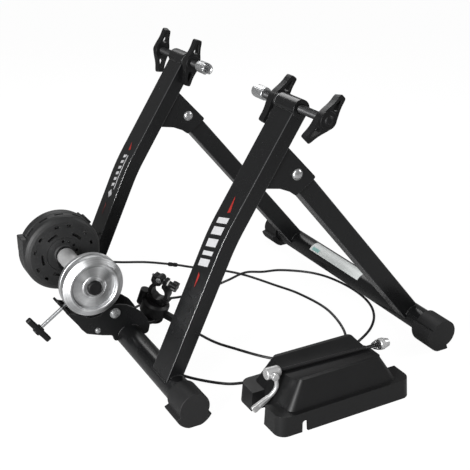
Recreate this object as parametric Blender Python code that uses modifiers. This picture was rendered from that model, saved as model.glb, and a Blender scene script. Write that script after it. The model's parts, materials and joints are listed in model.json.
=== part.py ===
"""Folding magnetic bike trainer with shifter, riser block and skewer. Metres, +Z up, +X towards the
bicycle's front. The sizes are written with x = 0 at the rear cross tube's axis and y = 0 midway between
the uprights; at the end the whole trainer moves so that the middle of its footprint is the origin."""
import math

import bmesh
import bpy
from mathutils import Matrix, Vector

# Clearances
GAP = 0.0003
RUN = 0.0004

# Sides of round pieces, by size
PIN_SIDES = 10
SMALL_SIDES = 14
ROUND_SIDES = 18
TUBE_SIDES = 24
DISC_SIDES = 28
WHEEL_SIDES = 32
HOUSING_SIDES = 36
ARC_SIDES = 64

# Cross tubes and feet
TUBE_SPACING = 0.397
TUBE_HEIGHT = 0.026
TUBE_RADIUS = 0.0172
TUBE_WALL = 0.0015
OVERALL_WIDTH = 0.4734
FOOT_LENGTH = 0.038
FOOT_RADIUS = 0.0208
FOOT_PAD_RADIUS = 0.0272
FOOT_END_WALL = 0.004

# Uprights
UPRIGHT_SPACING = 0.318
UPRIGHT_WIDTH = 0.0434
UPRIGHT_DEPTH = 0.0211
UPRIGHT_WALL = 0.0016
LEAN_LOW = math.radians(24.93)
LEAN_HIGH = math.radians(32.71)
BEND_HEIGHT = 0.2187
BEND_LENGTH = 0.045
UPRIGHT_SET_IN = 0.0002
UPRIGHT_TOP_DROP = 0.004

# Spindles
SPINDLE_X = 0.179
SPINDLE_Z = 0.372
SLEEVE_RADIUS = 0.012
SLEEVE_OVERHANG = 0.0017
SPINDLE_RADIUS = 0.0056
CUP_MOUTH = 0.0715
CUP_LENGTH = 0.0255
CUP_RADIUS = 0.0088
CUP_BORE = 0.0057
CUP_DEPTH = 0.015
CUP_GROOVES = 14
CUP_SLOT = 0.0062
CUP_SLOT_DEPTH = 0.009
SPIGOT_RADIUS = 0.0036
SPIGOT_LENGTH = 0.005
TEE_INNER = 0.2295
TEE_THICKNESS = 0.011
TEE_SPAN = 0.070
TEE_HUB_RADIUS = 0.0117
TEE_HUB_LENGTH = 0.0130
TEE_SWEEP = math.radians(12.0)
TEE_DOME_RADIUS = 0.0060
TEE_DOME_HEIGHT = 0.0025
TEE_SOCKET = 0.010
LOCK_SPAN = 0.070
LOCK_THICKNESS = 0.012
LOCK_HUB_LENGTH = 0.0165
LOCK_HUB_RADIUS = 0.0117
LOCK_WASHER = 0.0022
LOCK_WASHER_RADIUS = 0.0108
WING_START = 0.0020
WING_ROOT = 0.0111
WING_TIP = 0.0046
WINDOW_START = 0.0135
WINDOW_END = 0.0285
WINDOW_ROOT = 0.0036
WINDOW_TIP = 0.0011

# Legs
PIVOT_X = 0.179
PIVOT_Z = 0.286
LEG_SPACING = 0.320
LEG_WIDTH = 0.0236
LEG_DEPTH = 0.028
LEG_TAIL = 0.015
GUSSET_WIDTH = 0.0348
GUSSET_WALL = 0.0028
BOLT_RADIUS = 0.004
BOLT_HEAD_RADIUS = 0.0076
BOLT_HEAD_HEIGHT = 0.0042

# Resistance unit
AXLE_X = -0.064
AXLE_Z = 0.138
AXLE_RADIUS = 0.005
ROLLER_RADIUS = 0.0125
ROLLER_START = -0.045
ROLLER_TO_EAR = 0.0025
FLYWHEEL_RADIUS = 0.042
FLYWHEEL_FACE = -0.076
FLYWHEEL_WIDTH = 0.025
CAP_RADIUS = 0.0098
HOUSING_RADIUS = 0.0562
HOUSING_FACE = 0.0487
HOUSING_SPLIT = 0.0685
HOUSING_BACK = 0.087
HOUSING_WALL = 0.0024
NECK_RADIUS = 0.0122
ROTOR_ROOM = 0.0078
ROTOR_WIDTH = 0.003
ROTOR_HUB_RADIUS = 0.012
ROTOR_HUB_LENGTH = 0.007
CARRIER_WIDTH = 0.005
CARRIER_ROOM = 0.0036
CARRIER_BORE = 0.0135
CARRIER_SPIGOT = 0.0125
CARRIER_SEAT = 0.0045
LUG_OUT = 0.0006
LUG_DEPTH = 0.0080
LUG_LOW = 0.006
LUG_HIGH = 0.030
CABLE_BLOCK_ANGLE = math.radians(38.0)
CABLE_BLOCK_OUT = 0.0034
CABLE_BLOCK_DEPTH = 0.0090
CABLE_BLOCK_WIDTH = 0.0110
EAR_WALL = 0.003
NEAR_EAR = -0.048
FAR_EAR_TO_HOUSING = 0.0027
BEARING_RADIUS = 0.0095
BEARING_WIDTH = 0.004

# Bracket and adjuster
SWING_X = -0.0202
SWING_Z = 0.0675
BRACKET_HALF = 0.025
BRACKET_WALL = 0.003
SWING_BOLT_RADIUS = 0.004
SWING_HEAD_RADIUS = 0.0077
SMALL_BOLT_X = -0.0469
SMALL_BOLT_Z = 0.0470
SMALL_BOLT_RADIUS = 0.0022
SMALL_HEAD_RADIUS = 0.0042
ADJUST_ANGLE = math.radians(35.0)
TAB_X = -0.0880
TAB_Z = 0.0808
TAB_WALL = 0.003
TAB_WIDTH = 0.020
SCREW_RADIUS = 0.0028
SCREW_TO_KNOB = 0.0375
SCREW_TO_ARM = 0.034
SCREW_TIP_GAP = 0.0005
SCREW_TIP_RADIUS = 0.0012
KNOB_SPAN = 0.048
KNOB_THICKNESS = 0.011
KNOB_LENGTH = 0.012

# Control cable
CABLE_RADIUS = 0.002
CABLE_BOOT_LENGTH = 0.012
CABLE_BOOT_RADIUS = 0.0034
JOINER_RADIUS = 0.0036
JOINER_LENGTH = 0.016
CABLE_STEP = 0.0265
CABLE_LEAD = 0.020

# Shifter, in its own frame: +Z from the dial to the clamp, +Y along the handlebar
SHIFTER_X = 0.067
SHIFTER_Y = 0.045
SHIFTER_Z = 0.0168
SHIFTER_TURN = math.radians(-52.0)
SHIFTER_TILT = math.radians(20.0)
DRUM_RADIUS = 0.0215
DIAL_RADIUS = 0.0185
SPIGOT = 0.0060
LEVER_LOW = -0.0070
LEVER_HIGH = -0.0005
PADDLE_X = -0.0388
PADDLE_BEND = 0.0553
PADDLE_HALF_ANGLE = 39.2
BOSS_END = 0.0362
RING_HEIGHT = 0.039
RING_BORE = 0.0112
RING_OUTER = 0.0165
RING_WIDTH = 0.015
JAW_PIN_X = 0.0160
JAW_PIN_Z = 0.0297
JAW_PIN_RADIUS = 0.0013
KNUCKLE_HALF = 0.0040
SCREW_LINE = 0.0592
CLAMP_SCREW_RADIUS = 0.0021
NUT_X = -0.0055
NUT_RADIUS = 0.0040
NUT_HALF = 0.0082

# Riser block
RISER_X = 0.180
RISER_Y = -0.2568
RISER_LENGTH = 0.204
RISER_WIDTH = 0.1075
FLANGE_HEIGHT = 0.027
FLANGE_CORNER = 0.014
RISER_HEIGHT = 0.0615
RISER_WALL = 0.003
CROWN_LENGTH = 0.122
BODY_CORNER = 0.010
CROWN_WIDTH = 0.070
BODY_LENGTH = 0.166
BODY_WIDTH = 0.0915
GROOVE_DEPTH = 0.006
GROOVE_WIDTH = 0.060
NOTCH_WIDTH = 0.032
NOTCH_DEPTH = 0.0195
SIDE_NOTCH_X = 0.1155
SIDE_NOTCH_WIDTH = 0.0075
SIDE_NOTCH_HEIGHT = 0.0155

# Skewer
SKEWER_TURN = math.radians(-2.5)
SKEWER_RADIUS = 0.0025
SKEWER_BARREL_X = 0.1008
SKEWER_BARREL_RADIUS = 0.0078
SKEWER_BARREL_LENGTH = 0.0205
SKEWER_NUT_X = 0.2695
SKEWER_NUT_LENGTH = 0.015
SKEWER_NUT_RADIUS = 0.0086
SKEWER_LEVER_RADIUS = 0.0030
LEVER_AXIS_X = 0.0985
LEVER_PIVOT = 0.0036
PADDLE_LENGTH = 0.028
PADDLE_WIDTH = 0.0082
PADDLE_THICKNESS = 0.0046
LEVER_PATH = [(0.0985, -0.0115, 0.0), (0.1005, -0.0120, -0.0080), (0.1000, -0.0120, -0.0150),
              (0.0955, -0.0115, -0.0225), (0.0870, -0.0110, -0.0290), (0.0735, -0.0110, -0.0370)]
SPRING_TURNS = 4
SPRING_LENGTH = 0.009
SPRING_GAP = 0.0010
SPRING_SMALL = 0.0038
SPRING_LARGE = 0.0072
SPRING_WIRE = 0.0005

# Worked out from the sizes above
SPINDLE_AXIS = Vector((SPINDLE_X, 0.0, SPINDLE_Z))
PIVOT = Vector((PIVOT_X, 0.0, PIVOT_Z))
FRONT_TUBE = Vector((TUBE_SPACING, 0.0, TUBE_HEIGHT))
REAR_TUBE = Vector((0.0, 0.0, TUBE_HEIGHT))
AXLE = Vector((AXLE_X, 0.0, AXLE_Z))
SWING = Vector((SWING_X, 0.0, SWING_Z))
TAB = Vector((TAB_X, 0.0, TAB_Z))
FOOT_FACE = OVERALL_WIDTH / 2
TUBE_END = FOOT_FACE - FOOT_END_WALL - GAP
UPRIGHT_Y = UPRIGHT_SPACING / 2
SLEEVE_INNER = UPRIGHT_Y - UPRIGHT_WIDTH / 2 + GAP
SLEEVE_OUTER = UPRIGHT_Y + UPRIGHT_WIDTH / 2 + SLEEVE_OVERHANG
CUP_BACK = CUP_MOUTH + CUP_LENGTH
LEG_Y = LEG_SPACING / 2
LEG_LINE = (FRONT_TUBE - PIVOT)
LEG_LENGTH = LEG_LINE.length
LEG_DIRECTION = LEG_LINE.normalized()
FAR_EAR = HOUSING_FACE - FAR_EAR_TO_HOUSING
ROLLER_END = FAR_EAR - EAR_WALL / 2 - ROLLER_TO_EAR
ROTOR_RADIUS = HOUSING_RADIUS - HOUSING_WALL - ROTOR_ROOM
CARRIER_RADIUS = ROTOR_RADIUS - 0.002
CARRIER_FAR = HOUSING_BACK - HOUSING_WALL - CARRIER_ROOM
CARRIER_NEAR = CARRIER_FAR - CARRIER_WIDTH
ROTOR_HUB_END = CARRIER_NEAR - 0.0015
CABLE_OUT = HOUSING_RADIUS + CABLE_BLOCK_OUT - CABLE_BLOCK_DEPTH / 2
SHIFTER_MATRIX = (Matrix.Translation((SHIFTER_X, SHIFTER_Y, SHIFTER_Z))
                  @ Matrix.Rotation(SHIFTER_TURN, 4, "Z") @ Matrix.Rotation(SHIFTER_TILT, 4, "Y"))
GROOVE_RADIUS = (GROOVE_WIDTH ** 2 / 4 + GROOVE_DEPTH ** 2) / (2 * GROOVE_DEPTH)
SKEWER_Z = RISER_HEIGHT - GROOVE_DEPTH + SKEWER_RADIUS + GAP

for thing in list(bpy.data.objects):
    bpy.data.objects.remove(thing)

PARTS = bpy.data.collections.new("bike_trainer")
GUIDES = bpy.data.collections.new("cutters")
bpy.context.scene.collection.children.link(PARTS)
bpy.context.scene.collection.children.link(GUIDES)


def material(name, colour, roughness, metallic):
    """A Principled material of one colour."""
    made = bpy.data.materials.new(name)
    made.use_nodes = True
    shader = made.node_tree.nodes["Principled BSDF"]
    shader.inputs["Base Color"].default_value = (*colour, 1.0)
    shader.inputs["Roughness"].default_value = roughness
    shader.inputs["Metallic"].default_value = metallic
    made.diffuse_color = (*colour, 1.0)
    return made


BLACK_PAINT = ("black_paint", (0.030, 0.031, 0.033), 0.42, 0.0)
BLACK_RUBBER = ("black_rubber", (0.022, 0.022, 0.023), 0.65, 0.0)
BLACK_PLASTIC = ("black_plastic", (0.028, 0.028, 0.030), 0.50, 0.0)
GREY_STEEL = ("grey_steel", (0.30, 0.31, 0.32), 0.35, 1.0)
BLACK_STEEL = ("black_steel", (0.050, 0.051, 0.054), 0.40, 0.6)
BRIGHT_STEEL = ("bright_steel", (0.72, 0.73, 0.74), 0.22, 1.0)
TURNED_METAL = ("turned_aluminium", (0.80, 0.81, 0.82), 0.25, 1.0)
WHITE_NYLON = ("white_nylon", (0.82, 0.82, 0.80), 0.50, 0.0)


def place(made, name, finish, guide=False):
    """Name an object, give it its own material and put it in its collection."""
    made.name = name
    made.data.name = name
    for group in list(made.users_collection):
        group.objects.unlink(made)
    if guide:
        GUIDES.objects.link(made)
        made.hide_render = True
        made.display_type = "WIRE"
        return made
    PARTS.objects.link(made)
    made.data.materials.clear()
    made.data.materials.append(material(f"{name}_{finish[0]}", *finish[1:]))
    return made


def from_bmesh(bm, name):
    """An object that holds a finished bmesh, its faces set to point out."""
    bmesh.ops.recalc_face_normals(bm, faces=bm.faces)
    data = bpy.data.meshes.new(name)
    bm.to_mesh(data)
    bm.free()
    made = bpy.data.objects.new(name, data)
    bpy.context.scene.collection.objects.link(made)
    return made


def box(name, low, high):
    """A box between two corners."""
    bm = bmesh.new()
    size = Vector(high) - Vector(low)
    centre = (Vector(high) + Vector(low)) / 2
    bmesh.ops.create_cube(bm, size=1.0, matrix=Matrix.Translation(centre) @ Matrix.Diagonal((*size, 1.0)))
    return from_bmesh(bm, name)


def rod(name, start, end, radius, segments=SMALL_SIDES, end_radius=None):
    """A cylinder or cone between two points."""
    start, end = Vector(start), Vector(end)
    line = end - start
    turn = Vector((0, 0, 1)).rotation_difference(line.normalized()).to_matrix().to_4x4()
    bm = bmesh.new()
    bmesh.ops.create_cone(bm, cap_ends=True, segments=segments, radius1=radius,
                          radius2=radius if end_radius is None else end_radius, depth=line.length,
                          matrix=Matrix.Translation((start + end) / 2) @ turn)
    return from_bmesh(bm, name)


def along_y(name, x, z, y0, y1, radius, segments=SMALL_SIDES):
    """A cylinder along Y."""
    return rod(name, (x, y0, z), (x, y1, z), radius, segments)


def turned(name, profile, segments=ROUND_SIDES, closed=False):
    """A turned solid: a profile of (radius, height) points, top to bottom, round local Z."""
    data = bpy.data.meshes.new(name)
    points = [(r, 0.0, h) for r, h in profile]
    edges = [(i, i + 1) for i in range(len(points) - 1)]
    if closed:
        edges.append((len(points) - 1, 0))
    data.from_pydata(points, edges, [])
    made = bpy.data.objects.new(name, data)
    bpy.context.scene.collection.objects.link(made)
    screw = made.modifiers.new("turn", "SCREW")
    screw.steps = segments
    screw.render_steps = segments
    screw.use_merge_vertices = True
    screw.merge_threshold = 0.00001
    return meshed(made)


def ring(name, outer, inner, low, high, segments=ROUND_SIDES):
    """A turned ring of square section."""
    return turned(name, [(inner, high), (outer, high), (outer, low), (inner, low)], segments, True)


def face_out(made, x, z, y, side):
    """Stand a turned piece along Y at (x, z): its local +Z points away from the middle."""
    made.location = (x, side * y, z)
    made.rotation_euler = (-side * math.pi / 2, 0.0, 0.0)
    return made


def meshed(made):
    """Turn an object with modifiers, or a curve, into a plain mesh object with welded caps."""
    bpy.context.view_layer.update()
    graph = bpy.context.evaluated_depsgraph_get()
    data = bpy.data.meshes.new_from_object(made.evaluated_get(graph))
    bm = bmesh.new()
    bm.from_mesh(data)
    bmesh.ops.remove_doubles(bm, verts=bm.verts, dist=0.00001)
    bmesh.ops.recalc_face_normals(bm, faces=bm.faces)
    bm.to_mesh(data)
    bm.free()
    plain = bpy.data.objects.new(made.name, data)
    bpy.context.scene.collection.objects.link(plain)
    plain.matrix_world = made.matrix_world
    bpy.data.objects.remove(made)
    return plain


def outline(name, loops, thickness):
    """A flat outline in local XY with holes, extruded evenly to both sides of it."""
    data = bpy.data.curves.new(name, "CURVE")
    data.dimensions = "2D"
    data.fill_mode = "BOTH"
    data.extrude = thickness / 2
    for loop in loops:
        spline = data.splines.new("POLY")
        spline.points.add(len(loop) - 1)
        for point, (x, y) in zip(spline.points, loop):
            point.co = (x, y, 0.0, 1.0)
        spline.use_cyclic_u = True
    made = bpy.data.objects.new(name, data)
    bpy.context.scene.collection.objects.link(made)
    return made


def side_plate(name, loops, y, thickness):
    """An outline in the XZ plane, centred at y along Y."""
    made = outline(name, loops, thickness)
    made.location = (0.0, y, 0.0)
    made.rotation_euler = (math.pi / 2, 0.0, 0.0)
    return meshed(made)


def arc(x, y, radius, start, end, steps):
    """Points on an arc, angles in degrees, both ends included."""
    turns = [math.radians(start + (end - start) * i / steps) for i in range(steps + 1)]
    return [(x + radius * math.cos(a), y + radius * math.sin(a)) for a in turns]


def circle(x, y, radius, steps=24):
    """Points round a whole circle."""
    return arc(x, y, radius, 0, 360 - 360 / steps, steps - 1)


def combine(made, others, operation):
    """Boolean each other object into the first, in world space."""
    for other in others:
        if other.name not in GUIDES.objects:
            place(other, f"{made.name}_{other.name}", None, guide=True)
        step = made.modifiers.new(other.name, "BOOLEAN")
        step.operation = operation
        step.solver = "EXACT"
        step.object = other
    return made


def cut(made, *others):
    """Take other solids away from the first."""
    return combine(made, others, "DIFFERENCE")


def join(made, *others):
    """Weld other solids to the first."""
    return combine(made, others, "UNION")


def tube_through(name, points, radius, resolution=2):
    """A round bar along a polyline, with closed ends."""
    data = bpy.data.curves.new(name, "CURVE")
    data.dimensions = "3D"
    data.bevel_depth = radius
    data.bevel_resolution = resolution
    data.use_fill_caps = True
    spline = data.splines.new("POLY")
    spline.points.add(len(points) - 1)
    for point, where in zip(spline.points, points):
        point.co = (*where, 1.0)
    made = bpy.data.objects.new(name, data)
    bpy.context.scene.collection.objects.link(made)
    return made


def smooth_route(points, spacing):
    """A smooth curve through route points, read off at even steps."""
    points = [Vector(p) for p in points]
    padded = [2 * points[0] - points[1]] + points + [2 * points[-1] - points[-2]]
    fine = []
    for i in range(1, len(padded) - 2):
        a, b, c, d = padded[i - 1:i + 3]
        for k in range(24):
            t = k / 24
            fine.append(0.5 * (2 * b + (c - a) * t + (2 * a - 5 * b + 4 * c - d) * t ** 2
                               + (3 * b - a - 3 * c + d) * t ** 3))
    fine.append(points[-1])
    total = sum((q - p).length for p, q in zip(fine, fine[1:]))
    count = max(2, round(total / spacing))
    step = total / count
    out = [fine[0]]
    walked, wanted = 0.0, step
    for p, q in zip(fine, fine[1:]):
        length = (q - p).length
        while length > 0 and walked + length >= wanted - 1e-9 and len(out) < count:
            out.append(p.lerp(q, (wanted - walked) / length))
            wanted += step
        walked += length
    out.append(fine[-1])
    return out


def rounded_rectangle(x0, y0, x1, y1, radius, steps=5):
    """Points round a rectangle with round corners."""
    return (arc(x1 - radius, y0 + radius, radius, -90, 0, steps)
            + arc(x1 - radius, y1 - radius, radius, 0, 90, steps)
            + arc(x0 + radius, y1 - radius, radius, 90, 180, steps)
            + arc(x0 + radius, y0 + radius, radius, 180, 270, steps))


def loft(name, low_loop, high_loop, low, high):
    """A solid between two loops of as many points, at two heights."""
    bm = bmesh.new()
    lower = [bm.verts.new((x, y, low)) for x, y in low_loop]
    upper = [bm.verts.new((x, y, high)) for x, y in high_loop]
    bm.faces.new(lower)
    bm.faces.new(upper)
    for i in range(len(lower)):
        j = (i + 1) % len(lower)
        bm.faces.new((lower[i], lower[j], upper[j], upper[i]))
    return from_bmesh(bm, name)


# Cross tubes and feet
def cross_tube(name, axis):
    """A round tube across the trainer, open at both ends under its feet."""
    made = ring(name, TUBE_RADIUS, TUBE_RADIUS - TUBE_WALL, -TUBE_END, TUBE_END, TUBE_SIDES)
    face_out(made, axis.x, axis.z, 0.0, 1)
    return place(made, name, BLACK_PAINT)


def foot(name, axis, side, pad_start, pad_end):
    """A rubber cap with a thick stepped pad on part of its round, cut flat where it stands."""
    flat = math.degrees(math.asin(TUBE_HEIGHT / FOOT_PAD_RADIUS))
    pad = (arc(0, 0, FOOT_PAD_RADIUS, pad_start, 180 + flat, 6)
           + arc(0, 0, FOOT_PAD_RADIUS, 360 - flat, pad_end, 4))
    thin = arc(0, 0, FOOT_RADIUS, pad_end, pad_start + 360, 24)
    made = outline(name, [pad + thin], FOOT_LENGTH)
    made.location = (axis.x, side * (FOOT_FACE - FOOT_LENGTH / 2), axis.z)
    made.rotation_euler = (math.pi / 2, 0.0, 0.0)
    made = meshed(made)
    inner = FOOT_FACE - FOOT_LENGTH
    socket = along_y(f"{name}_socket", axis.x, axis.z, side * (inner - 0.001),
                     side * (FOOT_FACE - FOOT_END_WALL), TUBE_RADIUS + GAP, TUBE_SIDES)
    place(made, name, BLACK_RUBBER)
    cut(made, socket)
    return made


# Uprights
def upright_face(offset):
    """The side profile's rear and front edges, moved in by an offset from the outer faces."""
    low = Vector((math.sin(LEAN_LOW), 0.0, math.cos(LEAN_LOW)))
    high = Vector((math.sin(LEAN_HIGH), 0.0, math.cos(LEAN_HIGH)))
    normal_low = Vector((-low.z, 0.0, low.x))
    normal_high = Vector((-high.z, 0.0, high.x))
    start = REAR_TUBE + normal_low * (TUBE_RADIUS - UPRIGHT_SET_IN)
    bend = start + low * ((BEND_HEIGHT - start.z) / low.z)
    rear_half = BEND_LENGTH / 2
    edges = []
    for inset in (offset, UPRIGHT_DEPTH - offset):
        run = []
        foot_point = start - normal_low * inset
        run.append(foot_point)
        for step in range(7):
            share = step / 6
            lean = LEAN_LOW + (LEAN_HIGH - LEAN_LOW) * share
            normal = Vector((-math.cos(lean), 0.0, math.sin(lean)))
            a = bend - low * rear_half
            b = bend + high * rear_half
            where = a.lerp(bend, share).lerp(bend.lerp(b, share), share)
            run.append(where - normal * inset)
        top = bend + high * ((SPINDLE_AXIS - bend).dot(high) - UPRIGHT_TOP_DROP)
        run.append(top - normal_high * inset)
        edges.append(run)
    return edges


def upright(name, side):
    """A bent rectangular tube from the rear cross tube up to the spindle sleeve."""
    rear, front = upright_face(0.0)
    loop = [(p.x, p.z) for p in rear + front[::-1]]
    made = side_plate(name, [loop], side * UPRIGHT_Y, UPRIGHT_WIDTH)
    rear, front = upright_face(UPRIGHT_WALL)
    low = Vector((math.sin(LEAN_LOW), 0.0, math.cos(LEAN_LOW))) * 0.03
    high = Vector((math.sin(LEAN_HIGH), 0.0, math.cos(LEAN_HIGH))) * 0.03
    rear = [rear[0] - low] + rear[1:-1] + [rear[-1] + high]
    front = [front[0] - low] + front[1:-1] + [front[-1] + high]
    hollow = side_plate("hollow", [[(p.x, p.z) for p in rear + front[::-1]]], side * UPRIGHT_Y,
                        UPRIGHT_WIDTH - 2 * UPRIGHT_WALL)
    y0 = side * (UPRIGHT_Y - UPRIGHT_WIDTH)
    y1 = side * (UPRIGHT_Y + UPRIGHT_WIDTH)
    foot_cut = along_y("foot_cut", 0.0, TUBE_HEIGHT, y0, y1, TUBE_RADIUS + GAP, TUBE_SIDES)
    top_cut = along_y("top_cut", SPINDLE_X, SPINDLE_Z, y0, y1, SLEEVE_RADIUS + GAP, TUBE_SIDES)
    place(made, name, BLACK_PAINT)
    cut(made, hollow, foot_cut, top_cut)
    return made


def sleeve(name, side):
    """The threaded sleeve across an upright's top."""
    made = turned(name, [(SPINDLE_RADIUS + RUN, SLEEVE_OUTER), (SLEEVE_RADIUS - 0.001, SLEEVE_OUTER),
                         (SLEEVE_RADIUS, SLEEVE_OUTER - 0.001), (SLEEVE_RADIUS, SLEEVE_INNER),
                         (SPINDLE_RADIUS + RUN, SLEEVE_INNER)], TUBE_SIDES, True)
    face_out(made, SPINDLE_X, SPINDLE_Z, 0.0, side)
    return place(made, name, BLACK_PAINT)


# Gussets, legs and their bolts
GUSSET_SIDE = [(0.1640, 0.3247), (0.2079, 0.2775), (0.2035, 0.2735), (0.1781, 0.2567), (0.1689, 0.2638),
               (0.1539, 0.2704), (0.1316, 0.2745)]


def gusset(name, side):
    """A folded channel on the upright's front face, its two sides reaching forward to the bolt."""
    rear, front = upright_face(UPRIGHT_DEPTH + GAP)
    high = Vector((math.sin(LEAN_HIGH), 0.0, math.cos(LEAN_HIGH)))
    normal = Vector((math.cos(LEAN_HIGH), 0.0, -math.sin(LEAN_HIGH)))
    on_face = rear[-1]
    start = on_face + high * ((Vector((GUSSET_SIDE[-1][0], 0, GUSSET_SIDE[-1][1])) - on_face).dot(high))
    end = on_face + high * ((Vector((GUSSET_SIDE[0][0], 0, GUSSET_SIDE[0][1])) - on_face).dot(high))
    loop = [(start.x, start.z), (end.x, end.z)] + GUSSET_SIDE[1:-1]
    made = side_plate(name, [loop], side * UPRIGHT_Y, GUSSET_WIDTH)
    inner_start = start + normal * GUSSET_WALL - high * 0.05
    inner_end = end + normal * GUSSET_WALL + high * 0.05
    channel_loop = [(inner_start.x, inner_start.z), (inner_end.x, inner_end.z),
                    (0.30, 0.38), (0.30, 0.15), (0.12, 0.15)]
    channel = side_plate("channel", [channel_loop], side * UPRIGHT_Y, GUSSET_WIDTH - 2 * GUSSET_WALL)
    hole = along_y("hole", PIVOT_X, PIVOT_Z, side * (UPRIGHT_Y - 0.03), side * (UPRIGHT_Y + 0.03),
                   BOLT_RADIUS + GAP, SMALL_SIDES)
    place(made, name, BLACK_PAINT)
    cut(made, channel, hole)
    return made


def leg(name, side):
    """A rectangular tube from the pivot bolt down to the front cross tube."""
    across = Vector((-LEG_DIRECTION.z, 0.0, LEG_DIRECTION.x))

    def profile(inset, start, end):
        half = LEG_DEPTH / 2 - inset
        corners = [PIVOT + LEG_DIRECTION * start + across * half, PIVOT + LEG_DIRECTION * end + across * half,
                   PIVOT + LEG_DIRECTION * end - across * half, PIVOT + LEG_DIRECTION * start - across * half]
        return [(p.x, p.z) for p in corners]

    made = side_plate(name, [profile(0.0, -LEG_TAIL, LEG_LENGTH)], side * LEG_Y, LEG_WIDTH)
    hollow = side_plate("hollow", [profile(TUBE_WALL, -LEG_TAIL - 0.01, LEG_LENGTH + 0.01)], side * LEG_Y,
                        LEG_WIDTH - 2 * TUBE_WALL)
    y0 = side * (LEG_Y - 0.03)
    y1 = side * (LEG_Y + 0.03)
    mouth = along_y("mouth", FRONT_TUBE.x, FRONT_TUBE.z, y0, y1, TUBE_RADIUS + GAP, TUBE_SIDES)
    hole = along_y("hole", PIVOT_X, PIVOT_Z, y0, y1, BOLT_RADIUS + GAP, SMALL_SIDES)
    place(made, name, BLACK_PAINT)
    cut(made, hollow, mouth, hole)
    return made


def pivot_bolt(name, side):
    """A domed bolt through the gusset and the leg, with a like head on its far end."""
    half = GUSSET_WIDTH / 2 + GAP
    top = half + BOLT_HEAD_HEIGHT
    head = BOLT_HEAD_RADIUS
    profile = [(0.0, top), (head * 0.45, top), (head * 0.85, top - 0.0014), (head, half + 0.0012), (head, half),
               (BOLT_RADIUS, half), (BOLT_RADIUS, -half), (head, -half), (head, -half - 0.0012),
               (head * 0.85, -top + 0.0014), (head * 0.45, -top), (0.0, -top)]
    made = turned(name, profile, SMALL_SIDES)
    face_out(made, PIVOT_X, PIVOT_Z, UPRIGHT_Y, side)
    return place(made, name, BRIGHT_STEEL)


# Spindles
def gear_circle(radius, depth, count):
    """A circle with shallow grooves."""
    points = []
    for i in range(count):
        for share, r in ((0.0, radius), (0.55, radius), (0.68, radius - depth), (0.87, radius - depth)):
            a = 2 * math.pi * (i + share) / count
            points.append((r * math.cos(a), r * math.sin(a)))
    return points


def axle_cup(name, side):
    """A knurled cup with a slotted mouth that takes the end of the bicycle's axle."""
    made = outline(name, [gear_circle(CUP_RADIUS, 0.0006, CUP_GROOVES)], CUP_LENGTH)
    made.location = (SPINDLE_X, side * (CUP_MOUTH + CUP_LENGTH / 2), SPINDLE_Z)
    made.rotation_euler = (math.pi / 2, 0.0, 0.0)
    made = meshed(made)
    bore = along_y("bore", SPINDLE_X, SPINDLE_Z, side * (CUP_MOUTH - 0.002), side * (CUP_MOUTH + CUP_DEPTH),
                   CUP_BORE, SMALL_SIDES)
    seat = along_y("seat", SPINDLE_X, SPINDLE_Z, side * (CUP_BACK - SPIGOT_LENGTH - GAP), side * (CUP_BACK + 0.002),
                   SPIGOT_RADIUS + RUN, SMALL_SIDES)
    low = min(side * (CUP_MOUTH - 0.002), side * (CUP_MOUTH + CUP_SLOT_DEPTH))
    high = max(side * (CUP_MOUTH - 0.002), side * (CUP_MOUTH + CUP_SLOT_DEPTH))
    slot = box("slot", (SPINDLE_X - CUP_SLOT / 2, low, SPINDLE_Z - 0.012),
               (SPINDLE_X + CUP_SLOT / 2, high, SPINDLE_Z + 0.012))
    place(made, name, BRIGHT_STEEL)
    cut(made, bore, seat, slot)
    return made


def spindle_screw(name, side):
    """The threaded spindle, with a spigot in the cup's back and its outer end in the T-handle."""
    outer = TEE_INNER + TEE_SOCKET - GAP
    profile = [(0.0, outer), (SPINDLE_RADIUS, outer), (SPINDLE_RADIUS, CUP_BACK + GAP),
               (SPIGOT_RADIUS, CUP_BACK + GAP), (SPIGOT_RADIUS, CUP_BACK - SPIGOT_LENGTH),
               (0.0, CUP_BACK - SPIGOT_LENGTH)]
    made = turned(name, profile, SMALL_SIDES)
    face_out(made, SPINDLE_X, SPINDLE_Z, 0.0, side)
    return place(made, name, BLACK_STEEL)


def wing(name, span, thickness):
    """One wing in local XY from the spindle's axis along +X: broad root, blunt tip and a tapered window."""
    reach = span / 2
    edge = [(WING_START, WING_ROOT), (0.36 * reach, WING_ROOT * 0.95), (0.62 * reach, WING_ROOT * 0.79),
            (0.84 * reach, WING_TIP * 1.36), (reach - 0.0012, WING_TIP), (reach, WING_TIP - 0.0012)]
    hull = edge + [(x, -y) for x, y in edge[::-1]]
    window = (arc(WINDOW_START + WINDOW_ROOT, 0, WINDOW_ROOT, 90, 270, 6)
              + arc(WINDOW_END - WINDOW_TIP, 0, WINDOW_TIP, -80, 80, 3))
    return outline(name, [hull, window], thickness)


def grip(name, side, middle, thickness, span, angle, sweep):
    """Two wings round the spindle, their tips swept back from the hub's outer end."""
    wings = []
    for way, turn in (("one", 0.0), ("other", math.pi)):
        made = wing(f"{name}_{way}", span, thickness)
        made.matrix_world = (Matrix.Translation((SPINDLE_X, side * middle, SPINDLE_Z))
                             @ Matrix.Rotation(math.pi / 2, 4, "X")
                             @ Matrix.Rotation(math.radians(angle) + turn, 4, "Z")
                             @ Matrix.Rotation(-side * sweep, 4, "Y"))
        wings.append(meshed(made))
    place(wings[0], name, BLACK_PLASTIC)
    return wings


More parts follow.
